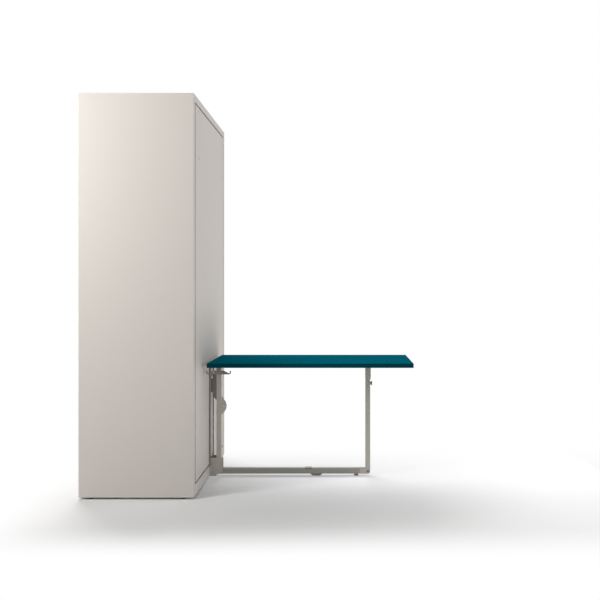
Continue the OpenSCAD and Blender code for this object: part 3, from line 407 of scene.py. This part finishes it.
def finish_material(name, group, values, bump, depth, **shader_values):
    """A Principled material whose colour, roughness and bump come from one shared group."""
    if group not in GROUPS:
        GROUPS[group] = GROUP_MAKERS[group]()
    material = bpy.data.materials.new(name)
    t = cleared(material)
    pattern = t.add("ShaderNodeGroup", node_tree=GROUPS[group])
    for key, value in values.items():
        is_colour = key in ("Color", "Grain color")
        pattern.inputs[key].default_value = (*value, 1.0) if is_colour else value
    relief = t.add("ShaderNodeBump", Strength=bump, Distance=depth, Height=pattern.outputs["Height"])
    shader = t.add("ShaderNodeBsdfPrincipled", Base_Color=pattern.outputs["Color"],
                   Roughness=pattern.outputs["Roughness"], Normal=relief.outputs["Normal"], **shader_values)
    t.add("ShaderNodeOutputMaterial", Surface=shader.outputs["BSDF"])
    return material


def colour_pattern(material, rgb):
    """Feeds a colour that changes over the surface into a material's pattern."""
    pattern = next(n for n in material.node_tree.nodes if n.type == "GROUP")
    Tree(material.node_tree).fill(pattern, Color=rgb)


def colour_by_facing(material, axis, face, edge, facing=0.8):
    """Colours a part by where its faces look: those that look along the axis take one colour, the rest
    another; it paints shade on the channel's flanges and the desk's edge band.
    """
    t = Tree(material.node_tree)
    normal = t.add("ShaderNodeSeparateXYZ", t.add("ShaderNodeTexCoord").outputs["Normal"]).outputs[axis]
    flat = t.math("GREATER_THAN", t.math("ABSOLUTE", normal), facing)
    colour_pattern(material, t.mix(flat, edge, face))


def rim_of_gap_shade(material, box, face, edge, width=0.004):
    """Gives a board in the Y and Z plane a rim of another colour, whatever is cut out of its middle: on the
    bed panel a dark edge band that is also painted shade of the gap round the panel.
    """
    t = Tree(material.node_tree)
    low, high = box
    place = t.add("ShaderNodeSeparateXYZ", t.place()).outputs
    rim = 0.0
    for axis, index in (("Y", 1), ("Z", 2)):
        middle, half = (low[index] + high[index]) / 2, (high[index] - low[index]) / 2
        off = t.math("ABSOLUTE", t.math("SUBTRACT", place[axis], middle))
        rim = t.math("MAXIMUM", t.math("GREATER_THAN", off, half - width), rim)
    colour_pattern(material, t.mix(rim, face, edge))


def make_materials(look):
    """Every material of the part, by name."""
    made = {}
    for key, (name, rgb, grain, contrast, roughness, bump, specular) in SPRAYED.items():
        coat = {"Coat_Weight": 0.08, "Coat_Roughness": 0.3} if key == "steel" else {}
        values = {"Color": getattr(look, rgb), "Grain scale": grain, "Contrast": contrast,
                  "Roughness": roughness}
        made[key] = finish_material(name, "surface", values, bump, depth=0.0002,
                                    Specular_IOR_Level=specular, **coat)
    # Painted shade: the bed panel's edges, and a thin strip of its face beside them, are dark as the gap's
    # shade
    rim_of_gap_shade(made["rim_gap_shaded"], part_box("front_panel"), look.board, look.panel_edge_band_and_gap_shade)
    # Painted shade on the channel's flanges, the faces that look along Y
    colour_by_facing(made["channel"], "Y", look.channel_flange_shade, look.light_steel)
    # The desk's sides take the darker edge band, partly painted shade
    colour_by_facing(made["desk"], "Z", look.desk, look.desk_edge_band_and_shade)
    for key, (name, rgb, shadow, threads, bump, depth, specular, sheen) in WOVEN.items():
        values = {"Color": getattr(look, rgb), "Shadow": shadow, "Threads": [threads] * 3}
        made[key] = finish_material(name, "weave", values, bump, depth,
                                    Specular_IOR_Level=specular, Sheen_Weight=sheen)
    for key, name, stretch in (("birch", "Lacquered birch", (60.0, 60.0, 3.0)),
                               ("slat", "Birch slat", (60.0, 3.0, 60.0))):
        values = {"Color": look.birch, "Grain color": look.birch_grain, "Stretch": stretch}
        made[key] = finish_material(name, "grain", values, bump=0.15, depth=0.0003,
                                    Specular_IOR_Level=0.4, Coat_Weight=0.1)
    made["zinc"] = finish_material("Bright zinc", "brushed", {"Color": look.zinc},
                                   bump=0.2, depth=0.0001, Metallic=1.0)
    return made


MATERIALS = {}


def wear(finishes):
    """Gives CAD nodes their material in every slot: finishes holds lists of nodes."""
    for material, names in finishes.items():
        for name in names:
            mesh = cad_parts[name].data
            mesh.materials.clear()
            mesh.materials.append(MATERIALS[material])


def ease(names, width, segments=2):
    """Rounds CAD nodes' edges a little, as sanding, coating or bending leaves them."""
    for name in names:
        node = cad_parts[name]
        weld = node.modifiers.new("Weld", "WELD")
        weld.merge_threshold = 0.00001
        bevel = node.modifiers.new("Eased edges", "BEVEL")
        bevel.width = width
        bevel.segments = segments
        bevel.limit_method = "ANGLE"
        bevel.angle_limit = math.radians(50)
        bevel.loop_slide = False
        flat = node.modifiers.new("Flat faces", "WEIGHTED_NORMAL")
        flat.mode = "FACE_AREA"
        flat.weight = 90


# ---- Meshes ----

def new_object(name, data):
    """An object of a mesh, lamp or camera, in the scene."""
    thing = bpy.data.objects.new(name, data)
    bpy.context.scene.collection.objects.link(thing)
    return thing


def new_piece(name, mesh, material, body):
    """Puts a finished mesh in the scene and lets it move with a body of the part."""
    mesh.materials.clear()
    mesh.materials.append(MATERIALS[material])
    piece = new_object(name, mesh)
    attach(piece, body)
    return piece


def evaluated(thing):
    """The mesh that an object's modifiers make."""
    graph = bpy.context.evaluated_depsgraph_get()
    return bpy.data.meshes.new_from_object(thing.evaluated_get(graph))


def mesh_from(name, verts, faces, smooth=True):
    """A mesh from lists, with its doubles merged and its faces turned outwards."""
    bm = bmesh.new()
    made = [bm.verts.new(v) for v in verts]
    for face in faces:
        bm.faces.new([made[i] for i in face])
    bmesh.ops.remove_doubles(bm, verts=bm.verts, dist=1e-6)
    bmesh.ops.recalc_face_normals(bm, faces=bm.faces)
    mesh = bpy.data.meshes.new(name)
    bm.to_mesh(mesh)
    bm.free()
    for polygon in mesh.polygons:
        polygon.use_smooth = smooth
    return mesh


def lathe(profile, sides):
    """Vertices and faces of a solid turned about Z: profile is a list of (radius, z) from pole to pole."""
    verts, faces, rings = [], [], []
    for radius, z in profile:
        if radius == 0:
            rings.append([len(verts)])
            verts.append((0, 0, z))
            continue
        rings.append(list(range(len(verts), len(verts) + sides)))
        for i in range(sides):
            turn = 2 * math.pi * i / sides
            verts.append((radius * math.cos(turn), radius * math.sin(turn), z))
    for low, high in zip(rings, rings[1:]):
        for i in range(sides):
            j = (i + 1) % sides
            corners = [low[i % len(low)], low[j % len(low)], high[j % len(high)], high[i % len(high)]]
            faces.append(list(dict.fromkeys(corners)))
    return verts, faces


# ---- Geometry Nodes ----

def repeat_tree(name, inputs=()):
    """A Geometry Nodes tree for repeating an item: further inputs are (name, socket type, default)."""
    tree = bpy.data.node_groups.new(name, "GeometryNodeTree")
    sockets = [("Geometry", "Geometry", None), ("Item", "Object", None), ("Finish", "Material", None)]
    for label, kind, default in (*sockets, *inputs):
        socket = tree.interface.new_socket(label, in_out="INPUT", socket_type="NodeSocket" + kind)
        if default is not None:
            socket.default_value = default
    tree.interface.new_socket("Geometry", in_out="OUTPUT", socket_type="NodeSocketGeometry")
    return tree, Tree(tree), tree.nodes.new("NodeGroupInput").outputs


def repeat_item(t, given, points, rotation):
    """Ends a tree: its item stands on each point, turned, as real mesh with its finish."""
    item = t.add("GeometryNodeObjectInfo", Object=given["Item"])
    copies = t.add("GeometryNodeInstanceOnPoints", Points=points, Rotation=rotation,
                   Instance=item.outputs["Geometry"])
    real = t.add("GeometryNodeRealizeInstances", Geometry=copies.outputs["Instances"])
    finish = t.add("GeometryNodeSetMaterial", Geometry=real.outputs["Geometry"], Material=given["Finish"])
    t.add("NodeGroupOutput", Geometry=finish.outputs["Geometry"])


def path_tree():
    """Repeats an item along a line of edges, such as stitches on a seam or ripples on a weld."""
    tree, t, given = repeat_tree("Along a path", [("Spacing", "Float", 0.006)])
    curve = t.add("GeometryNodeMeshToCurve", Mesh=given["Geometry"])
    points = t.add("GeometryNodeCurveToPoints", mode="LENGTH", Curve=curve.outputs["Curve"],
                   Length=given["Spacing"])
    repeat_item(t, given, points.outputs["Points"], points.outputs["Rotation"])
    return tree


def point_tree():
    """Puts an item on each point, its Z along the point's facing, such as screws and rivets."""
    tree, t, given = repeat_tree("On points")
    points = t.add("GeometryNodeMeshToPoints", Mesh=given["Geometry"])
    facing = t.add("GeometryNodeInputNamedAttribute", data_type="FLOAT_VECTOR", Name="facing")
    turn = t.add("FunctionNodeAlignRotationToVector", axis="Z", Vector=facing.outputs["Attribute"])
    repeat_item(t, given, points.outputs["Points"], turn.outputs["Rotation"])
    return tree


NODE_MAKERS = {"path": path_tree, "points": point_tree}
NODE_TREES = {}


def grown_mesh(name, source, kind, item, material, **values):
    """Runs a Geometry Nodes tree on a source mesh, with an item to repeat, and gives a plain mesh."""
    if kind not in NODE_TREES:
        NODE_TREES[kind] = NODE_MAKERS[kind]()
    tree = NODE_TREES[kind]
    helper = new_object(name + "_source", source)
    part = new_object(name + "_item", item)
    settings = dict(values, Item=part, Finish=MATERIALS[material])
    modifier = helper.modifiers.new("Nodes", "NODES")
    modifier.node_group = tree
    for socket in tree.interface.items_tree:
        if socket.in_out == "INPUT" and socket.name in settings:
            modifier[socket.identifier] = settings[socket.name]
    bpy.context.view_layer.update()
    mesh = evaluated(helper)
    mesh.name = name
    helper.modifiers.remove(modifier)
    bpy.data.objects.remove(helper)
    bpy.data.objects.remove(part)
    if not mesh.polygons:
        raise RuntimeError(name + " has no faces")
    return mesh


def new_heads(name, places, head, body):
    """Puts zinc heads on a body: places are (point, the direction that it faces)."""
    mesh = bpy.data.meshes.new(name + "_places")
    mesh.from_pydata([point for point, _ in places], [], [])
    facing = mesh.attributes.new("facing", "FLOAT_VECTOR", "POINT")
    for i, (_, direction) in enumerate(places):
        facing.data[i].vector = direction
    new_piece(name, grown_mesh(name, mesh, "points", head, "zinc"), "zinc", body)


def new_run(name, lines, item, spacing, material, body):
    """Repeats a stitch or a weld's ripple along lists of points on a body."""
    verts, edges = [], []
    for line in lines:
        first = len(verts)
        verts.extend(line)
        edges.extend((first + i, first + i + 1) for i in range(len(line) - 1))
    mesh = bpy.data.meshes.new(name + "_lines")
    mesh.from_pydata(verts, edges, [])
    grown = grown_mesh(name, mesh, "path", item, material, Spacing=spacing)
    new_piece(name, grown, material, body)


# ---- Bedding ----

def tube(name, line, radius, sides=8):
    """A round cord of mesh along a closed line."""
    verts, faces = [], []
    count = len(line)
    for i, point in enumerate(line):
        point = Vector(point)
        along = (Vector(line[(i + 1) % count]) - Vector(line[i - 1])).normalized()
        side = along.orthogonal().normalized() if i == 0 else (side - along * side.dot(along)).normalized()
        up = along.cross(side)
        for k in range(sides):
            turn = 2 * math.pi * k / sides
            verts.append(point + radius * (math.cos(turn) * side + math.sin(turn) * up))
    for i in range(count):
        a, b = i * sides, ((i + 1) % count) * sides
        for k in range(sides):
            faces.append([a + k, a + (k + 1) % sides, b + (k + 1) % sides, b + k])
    return mesh_from(name, verts, faces)


def cushion_point(unit, half, look):
    """Where a point of a box's grid goes when its edges and corners are rounded and its faces crowned."""
    edge, corner = look.edge_round, look.corner_round
    p = Vector(u * h for u, h in zip(unit, half))
    core = Vector(max(edge - h, min(h - edge, v)) for v, h in zip(p, half))
    p = core + (p - core).normalized() * edge
    over = [max(abs(p[i]) - half[i] + corner, 0.0) for i in (1, 2)]
    if min(over) > 0:
        pull = max(over) / math.hypot(*over)
        for i, beyond in zip((1, 2), over):
            p[i] = math.copysign(half[i] - corner + beyond * pull, p[i])
    if p.x:
        outwards = ((p.y / half[1]) ** 2 + (p.z / half[2]) ** 2) / 2
        p.x -= math.copysign(look.crown / 2, p.x) * outwards
    return p


def cushion_grid(name, middle, half, counts, look):
    """A closed grid in the shape of a mattress, and the points that the stitching holds."""
    index, verts, faces, held = {}, [], [], []
    for axis in range(3):
        u, v = [a for a in range(3) if a != axis]
        for end in (0, counts[axis]):
            for a in range(counts[u]):
                for b in range(counts[v]):
                    quad = []
                    for step_a, step_b in ((0, 0), (1, 0), (1, 1), (0, 1)):
                        key = [0, 0, 0]
                        key[axis], key[u], key[v] = end, a + step_a, b + step_b
                        key = tuple(key)
                        if key not in index:
                            index[key] = len(verts)
                            unit = [2 * k / n - 1 for k, n in zip(key, counts)]
                            verts.append(middle + cushion_point(unit, half, look))
                            on_line = key[1] % look.quilt_cells == 0 or key[2] % look.quilt_cells == 0
                            if key[0] in (0, counts[0]) and on_line:
                                held.append(index[key])
                        quad.append(index[key])
                    faces.append(quad)
    mesh = bpy.data.meshes.new(name)
    mesh.from_pydata(verts, [], faces)
    bm = bmesh.new()
    bm.from_mesh(mesh)
    bmesh.ops.recalc_face_normals(bm, faces=bm.faces)
    bm.to_mesh(mesh)
    bm.free()
    return mesh, held


def inflate(mesh, held, most, pressure=9, frames=20):
    """Fills a cloth skin with air for a moment, holds the stitched points and caps how far it swells."""
    puppet = new_object("inflated", mesh)
    scene = bpy.context.scene
    group = puppet.vertex_groups.new(name="held")
    group.add(held, 1.0, "REPLACE")
    cloth = puppet.modifiers.new("Cloth", "CLOTH")
    cloth.settings.vertex_group_mass = group.name
    cloth.settings.use_pressure = True
    cloth.settings.uniform_pressure_force = pressure
    cloth.settings.effector_weights.gravity = 0
    cloth.settings.quality = 4
    cloth.collision_settings.use_collision = False
    for step in range(1, frames + 1):
        scene.frame_set(step)
        bpy.context.view_layer.update()
    swollen = evaluated(puppet)
    puppet.modifiers.remove(cloth)
    for point, goal in zip(mesh.vertices, swollen.vertices):
        move = goal.co - point.co
        if move.length > most:
            move *= most / move.length
        point.co += move
    bpy.data.meshes.remove(swollen)
    scene.frame_set(1)
    puppet.modifiers.new("Smooth", "SUBSURF").levels = 1
    smooth = evaluated(puppet)
    bpy.data.objects.remove(puppet)
    return smooth


def rounded_loop(half_y, half_z, radius, steps=8):
    """Points (y, z) round a rectangle with round corners."""
    line = []
    for quarter, (sy, sz) in enumerate(((1, 1), (-1, 1), (-1, -1), (1, -1))):
        for i in range(steps + 1):
            turn = math.radians(90) * (quarter + i / steps)
            line.append((sy * (half_y - radius) + radius * math.cos(turn),
                         sz * (half_z - radius) + radius * math.sin(turn)))
    return line


def bent_line(corners, radius, steps=6):
    """A line in X and Y through corners, each rounded by the same radius."""
    line = [Vector(corners[0])]
    for before, at, after in zip(corners, corners[1:], corners[2:]):
        at = Vector(at)
        back = (Vector(before) - at).normalized()
        on = (Vector(after) - at).normalized()
        half_turn = back.angle(on) / 2
        reach = radius / math.tan(half_turn)
        middle = at + (back + on).normalized() * radius / math.sin(half_turn)
        start, end = at + back * reach - middle, at + on * reach - middle
        for i in range(steps + 1):
            line.append(middle + radius * start.slerp(end, i / steps))
    line.append(Vector(corners[-1]))
    return line


def strap_mesh(name, line, height, width, thickness):
    """A flat strap on edge: it follows a line in X and Y at a height, with bevelled edges."""
    t, w, e = thickness / 2, width / 2, thickness / 4
    section = [(t, w - e), (t, e - w), (t - e, -w), (e - t, -w),
               (-t, e - w), (-t, w - e), (e - t, w), (t - e, w)]
    verts, faces = [], []
    for i, point in enumerate(line):
        before, after = line[max(i - 1, 0)], line[min(i + 1, len(line) - 1)]
        along = (after - before).normalized()
        for out, up in section:
            verts.append((point.x - along.y * out, point.y + along.x * out, height + up))
    n = len(section)
    for i in range(len(line) - 1):
        for k in range(n):
            j = (k + 1) % n
            faces.append([i * n + k, i * n + j, (i + 1) * n + j, (i + 1) * n + k])
    faces.append(list(range(n)))
    faces.append([(len(line) - 1) * n + k for k in range(n)])
    return mesh_from(name, verts, faces, smooth=False)


# ---- Stitches and heads ----

SEAT_DEPTH = 0.0005


def stitch(length, radius=0.0005):
    """One stitch of thread along Z."""
    half = length / 2
    profile = [(0, -half), (radius, radius - half), (radius, half - radius), (0, half)]
    return mesh_from("stitch", *lathe(profile, 5))


def pan_head(radius):
    """A pan head with a dimple in its top, its seat at the origin and its top along Z."""
    shares = [(1, 0.4), (0.75, 0.6), (0.3, 0.64), (0.18, 0.35), (0, 0.3)]
    profile = [(0, -SEAT_DEPTH), (radius, -SEAT_DEPTH), *((r * radius, z * radius) for r, z in shares)]
    return mesh_from("pan_head", *lathe(profile, 20))


def dome_head(radius):
    """A domed rivet head with its seat at the origin and its top along Z."""
    rise = [(radius * math.cos(a), 0.55 * radius * math.sin(a))
            for a in (math.radians(d) for d in (0, 20, 40, 60, 75))]
    profile = [(0, -SEAT_DEPTH), (radius, -SEAT_DEPTH), *rise, (0, 0.55 * radius)]
    return mesh_from("dome_head", *lathe(profile, 20))


def weld_ripple(r):
    """One ripple of a weld bead along Z."""
    profile = [(0, -r), (0.8 * r, -0.5 * r), (r, 0), (0.8 * r, 0.5 * r), (0, r)]
    return mesh_from("bead", *lathe(profile, 8))


# ---- Operators ----

class WALLBED_OT_cabinet(bpy.types.Operator):
    """Gives the cabinet's and the bed's boards and fittings their finish and eased edges."""

    bl_idname = "wallbed.cabinet"
    bl_label = "Cabinet boards"

    def execute(self, context):
        wear(CABINET_FINISHES)
        ease(CABINET_FINISHES["board"], BOARD_EDGE)
        ease(["front_panel"], PANEL_EDGE, 3)
        ease(RUBBER_NODES, RUBBER_EDGE)
        return {"FINISHED"}


class WALLBED_OT_steel(bpy.types.Operator):
    """Coats the steel frame and plates its bolts and screws."""

    bl_idname = "wallbed.steel"
    bl_label = "Steel frame"

    def execute(self, context):
        wear(STEEL_FINISHES)
        ease(TUBE_NODES, TUBE_EDGE, 3)
        ease(PLATE_NODES, PLATE_EDGE)
        return {"FINISHED"}


class WALLBED_OT_bed_base(bpy.types.Operator):
    """Gives the slats and rails under the mattress their birch."""

    bl_idname = "wallbed.bed_base"
    bl_label = "Bed base"

    def execute(self, context):
        wear(BED_BASE_FINISHES)
        for names in BED_BASE_FINISHES.values():
            ease(names, BOARD_EDGE)
        return {"FINISHED"}


class WALLBED_OT_desk(bpy.types.Operator):
    """Gives the desk top its coloured laminate and its darker edge band, which is partly painted shade on the
    desk's sides.
    """

    bl_idname = "wallbed.desk"
    bl_label = "Desk top"

    def execute(self, context):
        wear({"desk": ["desk_top"]})
        ease(["desk_top"], DESK_EDGE)
        return {"FINISHED"}


class WALLBED_OT_mattress(bpy.types.Operator):
    """Makes the quilted mattress with its border, piping and stitched lines."""

    bl_idname = "wallbed.mattress"
    bl_label = "Mattress"

    def execute(self, context):
        look = context.scene.wallbed_bed
        low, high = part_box("mattress")
        middle = (low + high) / 2
        half = (high - low) / 2 - Vector((1, 1, 1)) * look.swell
        counts = [look.quilt_cells, *(look.quilt_cells * round(2 * half[i] / look.quilt) for i in (1, 2))]
        skin, held = cushion_grid("mattress_skin", middle, half, counts, look)
        skin = inflate(skin, held, look.swell)
        for polygon in skin.polygons:
            polygon.use_smooth = True
        mattress = new_piece("mattress_cover", skin, "ticking", "bed")
        skin.materials.append(MATERIALS["border"])
        facing = 0.6
        for polygon in skin.polygons:
            polygon.material_index = 0 if abs(polygon.normal.x) > facing else 1
        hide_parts("mattress")

        inset = 0.25 * look.edge_round
        for name, side in (("mattress_piping_top", -1), ("mattress_piping_base", 1)):
            loop = rounded_loop(half.y - inset, half.z - inset, look.corner_round)
            x = middle.x + side * (half.x - inset - look.crown / 4)
            line = [(x, middle.y + y, middle.z + z) for y, z in loop]
            new_piece(name, tube(name, line, look.piping_radius), "border", "bed")

        # The stitches lie where rays from a metre in front of the mattress meet its skin
        surface = BVHTree.FromPolygons([v.co for v in skin.vertices], [p.vertices for p in skin.polygons])
        lines = []
        for axis, other in ((1, 2), (2, 1)):
            for i in range(1, counts[axis] // look.quilt_cells):
                line = []
                for k in range(2, 2 * counts[other] - 1):
                    place = middle.copy()
                    place.x -= 1
                    place[axis] += half[axis] * (2 * i * look.quilt_cells / counts[axis] - 1)
                    place[other] += half[other] * (k / counts[other] - 1)
                    found = surface.ray_cast(place, Vector((1, 0, 0)))[0]
                    if found:
                        line.append(found)
                lines.append(line)
        new_run("mattress_stitches", lines, stitch(look.stitch_length), 1.8 * look.stitch_length,
                "border", "bed")
        return {"FINISHED"}


class WALLBED_OT_webbing(bpy.types.Operator):
    """Makes the two straps over the mattress, with their sewn boxes and their screws."""

    bl_idname = "wallbed.webbing"
    bl_label = "Bedding straps"

    def execute(self, context):
        look = context.scene.wallbed_bed
        low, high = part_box("bedding_straps")
        thick, width = look.strap_thickness, 0.04
        box_y, box_half, thread_out = 0.06, 0.014, 0.0001
        screw_inset, screw_up, screw_radius = 0.007, 0.01, 0.0038
        out_x, foot_x = low.x + thick / 2, high.x - thick / 2
        side_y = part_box("bed_side_rail_right")[0].y + thick / 2
        corners = [(foot_x, low.y), (foot_x, -side_y), (out_x, -side_y), (out_x, side_y),
                   (foot_x, side_y), (foot_x, high.y)]
        boxes, screws = [], []
        for name, z in (("strap_foot", low.z + width / 2), ("strap_head", high.z - width / 2)):
            line = bent_line(corners, look.strap_bend)
            strap = new_piece(name, strap_mesh(name, line, z, width, thick), "webbing", "bed")
            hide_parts("bedding_straps")
            for y in (-box_y, box_y):
                a, x = box_half, low.x - thread_out
                square = [(x, y - a, z - a), (x, y + a, z - a), (x, y + a, z + a), (x, y - a, z + a)]
                boxes += [[*square, square[0]], [square[0], square[2]], [square[1], square[3]]]
            for side in (-1, 1):
                for up in (-screw_up, screw_up):
                    screws.append(((foot_x - thick / 2, side * (high.y - screw_inset), z + up), (-1, 0, 0)))
        new_run("strap_stitches", boxes, stitch(look.stitch_length), 1.3 * look.stitch_length,
                "ticking", "bed")
        new_heads("strap_screws", screws, pan_head(screw_radius), "bed")
        return {"FINISHED"}


class WALLBED_OT_fasteners(bpy.types.Operator):
    """Adds the screws in the bed panel's channel, the rivets in the hooks and the weld beads."""

    bl_idname = "wallbed.fasteners"
    bl_label = "Screws, rivets and welds"

    def execute(self, context):
        look = context.scene.wallbed_steel
        low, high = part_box("panel_channel")
        web_thickness, row_y, rows = 0.003, 0.048, look.channel_screws
        web, first, last = low.x + web_thickness, low.z + 0.07, high.z - 0.03
        places = [((web, y, first + (last - first) * i / (rows - 1)), (1, 0, 0))
                  for y in (-row_y, row_y) for i in range(rows)]
        new_heads("channel_screws", places, pan_head(look.screw_radius), "bed")

        low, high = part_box("desk_hooks")
        rivet = Vector(((low.x + high.x) / 2 - 0.031, high.y - 0.02, low.z + 0.012))
        places = [((rivet.x, side * rivet.y, rivet.z), (0, side, 0)) for side in (-1, 1)]
        new_heads("hook_rivets", places, dome_head(look.rivet_radius), "desk")

        arm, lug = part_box("rear_arm"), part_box("arm_lug_plates")
        gusset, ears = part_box("arm_gusset"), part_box("rail_end_ears")
        proud = 0.0004
        skin = arm[1].y + proud
        # Upright beads: X of the edge they lie on, Y of their side, the box they run up, their setback
        beads = {("arm_welds", "rear_arm"): [(lug[0].x, skin, lug, 0.012),
                                             (arm[0].x, gusset[1].y + proud / 2, gusset, 0.004)],
                 ("rail_welds", "cabinet"): [(ears[0].x, skin, ears, 0.003)]}
        for (name, body), runs in beads.items():
            lines = [[(x - proud, side * y, box[0].z + back), (x - proud, side * y, box[1].z - back)]
                     for side in (-1, 1) for x, y, box, back in runs]
            new_run(name, lines, weld_ripple(look.weld_radius), look.bead_step,
                    "steel", body)
        return {"FINISHED"}


def area_lamp(name, place, target, width, height, watts):
    """A soft rectangular lamp that looks at a target."""
    data = bpy.data.lights.new(name, "AREA")
    data.shape = "RECTANGLE"
    data.size = width
    data.size_y = height
    data.energy = watts
    lamp = new_object(name, data)
    lamp.location = place
    lamp.visible_camera = False
    lamp.rotation_euler = (Vector(target) - lamp.location).to_track_quat("-Z", "Y").to_euler()


def studio_world(sky):
    """White behind the object and in its reflections, and an even warm light."""
    world = bpy.data.worlds.new("Studio")
    t = cleared(world)
    path = t.add("ShaderNodeLightPath").outputs
    mirrored = t.math("MAXIMUM", path["Is Glossy Ray"], path["Is Transmission Ray"])
    seen = t.math("MAXIMUM", path["Is Camera Ray"], mirrored)
    light = t.add("ShaderNodeBackground", Color=(1, 0.985, 0.97, 1), Strength=sky)
    backdrop = t.add("ShaderNodeBackground", Color=(1, 1, 1, 1))
    choice = t.add("ShaderNodeMixShader", seen, light.outputs[0], backdrop.outputs[0])
    t.add("ShaderNodeOutputWorld", Surface=choice.outputs[0])
    return world


def floor_material(edges):
    """Pale floor that fades to white past its edges: each is (axis, where it is white, where it is whole)."""
    material = bpy.data.materials.new("Studio floor")
    t = cleared(material)
    place = t.place()
    axes = t.add("ShaderNodeSeparateXYZ", place).outputs
    kept = 1.0
    for axis, white, whole in edges:
        fade = t.add("ShaderNodeMapRange", interpolation_type="SMOOTHSTEP", Value=axes[axis],
                     From_Min=min(white, whole), From_Max=max(white, whole),
                     To_Min=float(white > whole), To_Max=float(white < whole))
        kept = t.math("MULTIPLY", fade.outputs["Result"], kept)
    grain = t.noise(place, Scale=300.0, Detail=2.0)
    tone = t.add("ShaderNodeMapRange", Value=grain, To_Min=0.99, To_Max=1.01).outputs["Result"]
    path = t.add("ShaderNodeLightPath").outputs
    seen = t.math("MAXIMUM", path["Is Camera Ray"], path["Is Glossy Ray"])
    unseen_shade, lighter_seen = 0.45, 0.4
    shade = t.spread(seen, lighter_seen, unseen_shade)
    paint = t.add("ShaderNodeBsdfDiffuse", Color=t.math("MULTIPLY", tone, shade))
    glow = t.add("ShaderNodeEmission", Color=(1, 1, 1, 1))
    white_share = t.math("MULTIPLY", t.math("SUBTRACT", 1.0, kept), seen)
    mixed = t.add("ShaderNodeMixShader", white_share, paint.outputs[0], glow.outputs[0])
    t.add("ShaderNodeOutputMaterial", Surface=mixed.outputs[0])
    return material


def floor_mesh(half=9.0, steps=18, drop=0.0002):
    """A square of floor just under the object."""
    verts, faces = [], []
    for i in range(steps + 1):
        for j in range(steps + 1):
            verts.append((2 * half * i / steps - half, 2 * half * j / steps - half, -drop))
    for i in range(steps):
        for j in range(steps):
            a = i * (steps + 1) + j
            faces.append([a, a + steps + 1, a + steps + 2, a + 1])
    mesh = mesh_from("studio_floor", verts, faces)
    if mesh.polygons[0].normal.z < 0:
        mesh.flip_normals()
    return mesh


class WALLBED_OT_stage(bpy.types.Operator):
    """Makes the floor, the soft light and the camera of the photograph."""

    bl_idname = "wallbed.stage"
    bl_label = "Studio"

    def execute(self, context):
        look = context.scene.wallbed_studio
        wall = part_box("side_panel_left")[0].x
        scene = context.scene
        scene.view_settings.view_transform = "Standard"

        mesh = floor_mesh()
        edges = [("Y", -1.415, -0.96), ("Y", 0.9, -0.5),
                 ("X", wall - 0.35, wall + 0.05), ("X", wall + 4.4, wall + 0.7)]
        mesh.materials.append(floor_material(edges))
        new_object("studio_floor", mesh)

        scene.world = studio_world(look.sky)
        for name, (place, target, width, height) in LAMPS.items():
            place, target = [(wall + x, y, z) for x, y, z in (place, target)]
            area_lamp(name.title(), place, target, width, height, getattr(look, name + "_power"))

        data = bpy.data.cameras.new("Camera")
        data.sensor_width = 36
        data.lens = look.focal_px * data.sensor_width / PHOTO_PX
        data.shift_x = (PHOTO_PX / 2 - look.vanish_x) / PHOTO_PX
        data.shift_y = (look.vanish_y - PHOTO_PX / 2) / PHOTO_PX
        data.clip_end = 60
        camera = new_object("Camera", data)
        camera.location = (wall + look.camera_x, look.camera_y, look.camera_z)
        camera.rotation_euler = (math.radians(90), 0, 0)
        scene.camera = camera
        return {"FINISHED"}


class WALLBED_PT_panel(bpy.types.Panel):
    """Buttons that dress the wall bed."""

    bl_idname = "WALLBED_PT_panel"
    bl_label = "Wall bed"
    bl_space_type = "VIEW_3D"
    bl_region_type = "UI"
    bl_category = "Wall bed"

    def draw(self, context):
        for operator in OPERATORS:
            self.layout.operator(operator.bl_idname)
        for group in GROUP_TYPES:
            settings = getattr(context.scene, "wallbed_" + group)
            box = self.layout.box()
            for key in settings.__annotations__:
                box.prop(settings, key)


GROUP_TYPES = {"finish": FinishSettings, "bed": BedSettings, "steel": SteelSettings, "studio": StudioSettings}
OPERATORS = [WALLBED_OT_stage, WALLBED_OT_cabinet, WALLBED_OT_steel, WALLBED_OT_bed_base, WALLBED_OT_desk,
             WALLBED_OT_mattress, WALLBED_OT_webbing, WALLBED_OT_fasteners]


def register():
    for kind in (*GROUP_TYPES.values(), *OPERATORS, WALLBED_PT_panel):
        bpy.utils.register_class(kind)
    for group, kind in GROUP_TYPES.items():
        setattr(bpy.types.Scene, "wallbed_" + group, PointerProperty(type=kind))


def unregister():
    for group in GROUP_TYPES:
        delattr(bpy.types.Scene, "wallbed_" + group)
    for kind in (WALLBED_PT_panel, *reversed(OPERATORS), *reversed(GROUP_TYPES.values())):
        bpy.utils.unregister_class(kind)


def main():
    register()
    MATERIALS.update(make_materials(bpy.context.scene.wallbed_finish))
    for operator in OPERATORS:
        group, name = operator.bl_idname.split(".")
        getattr(getattr(bpy.ops, group), name)()


if __name__ == "__main__":
    main()
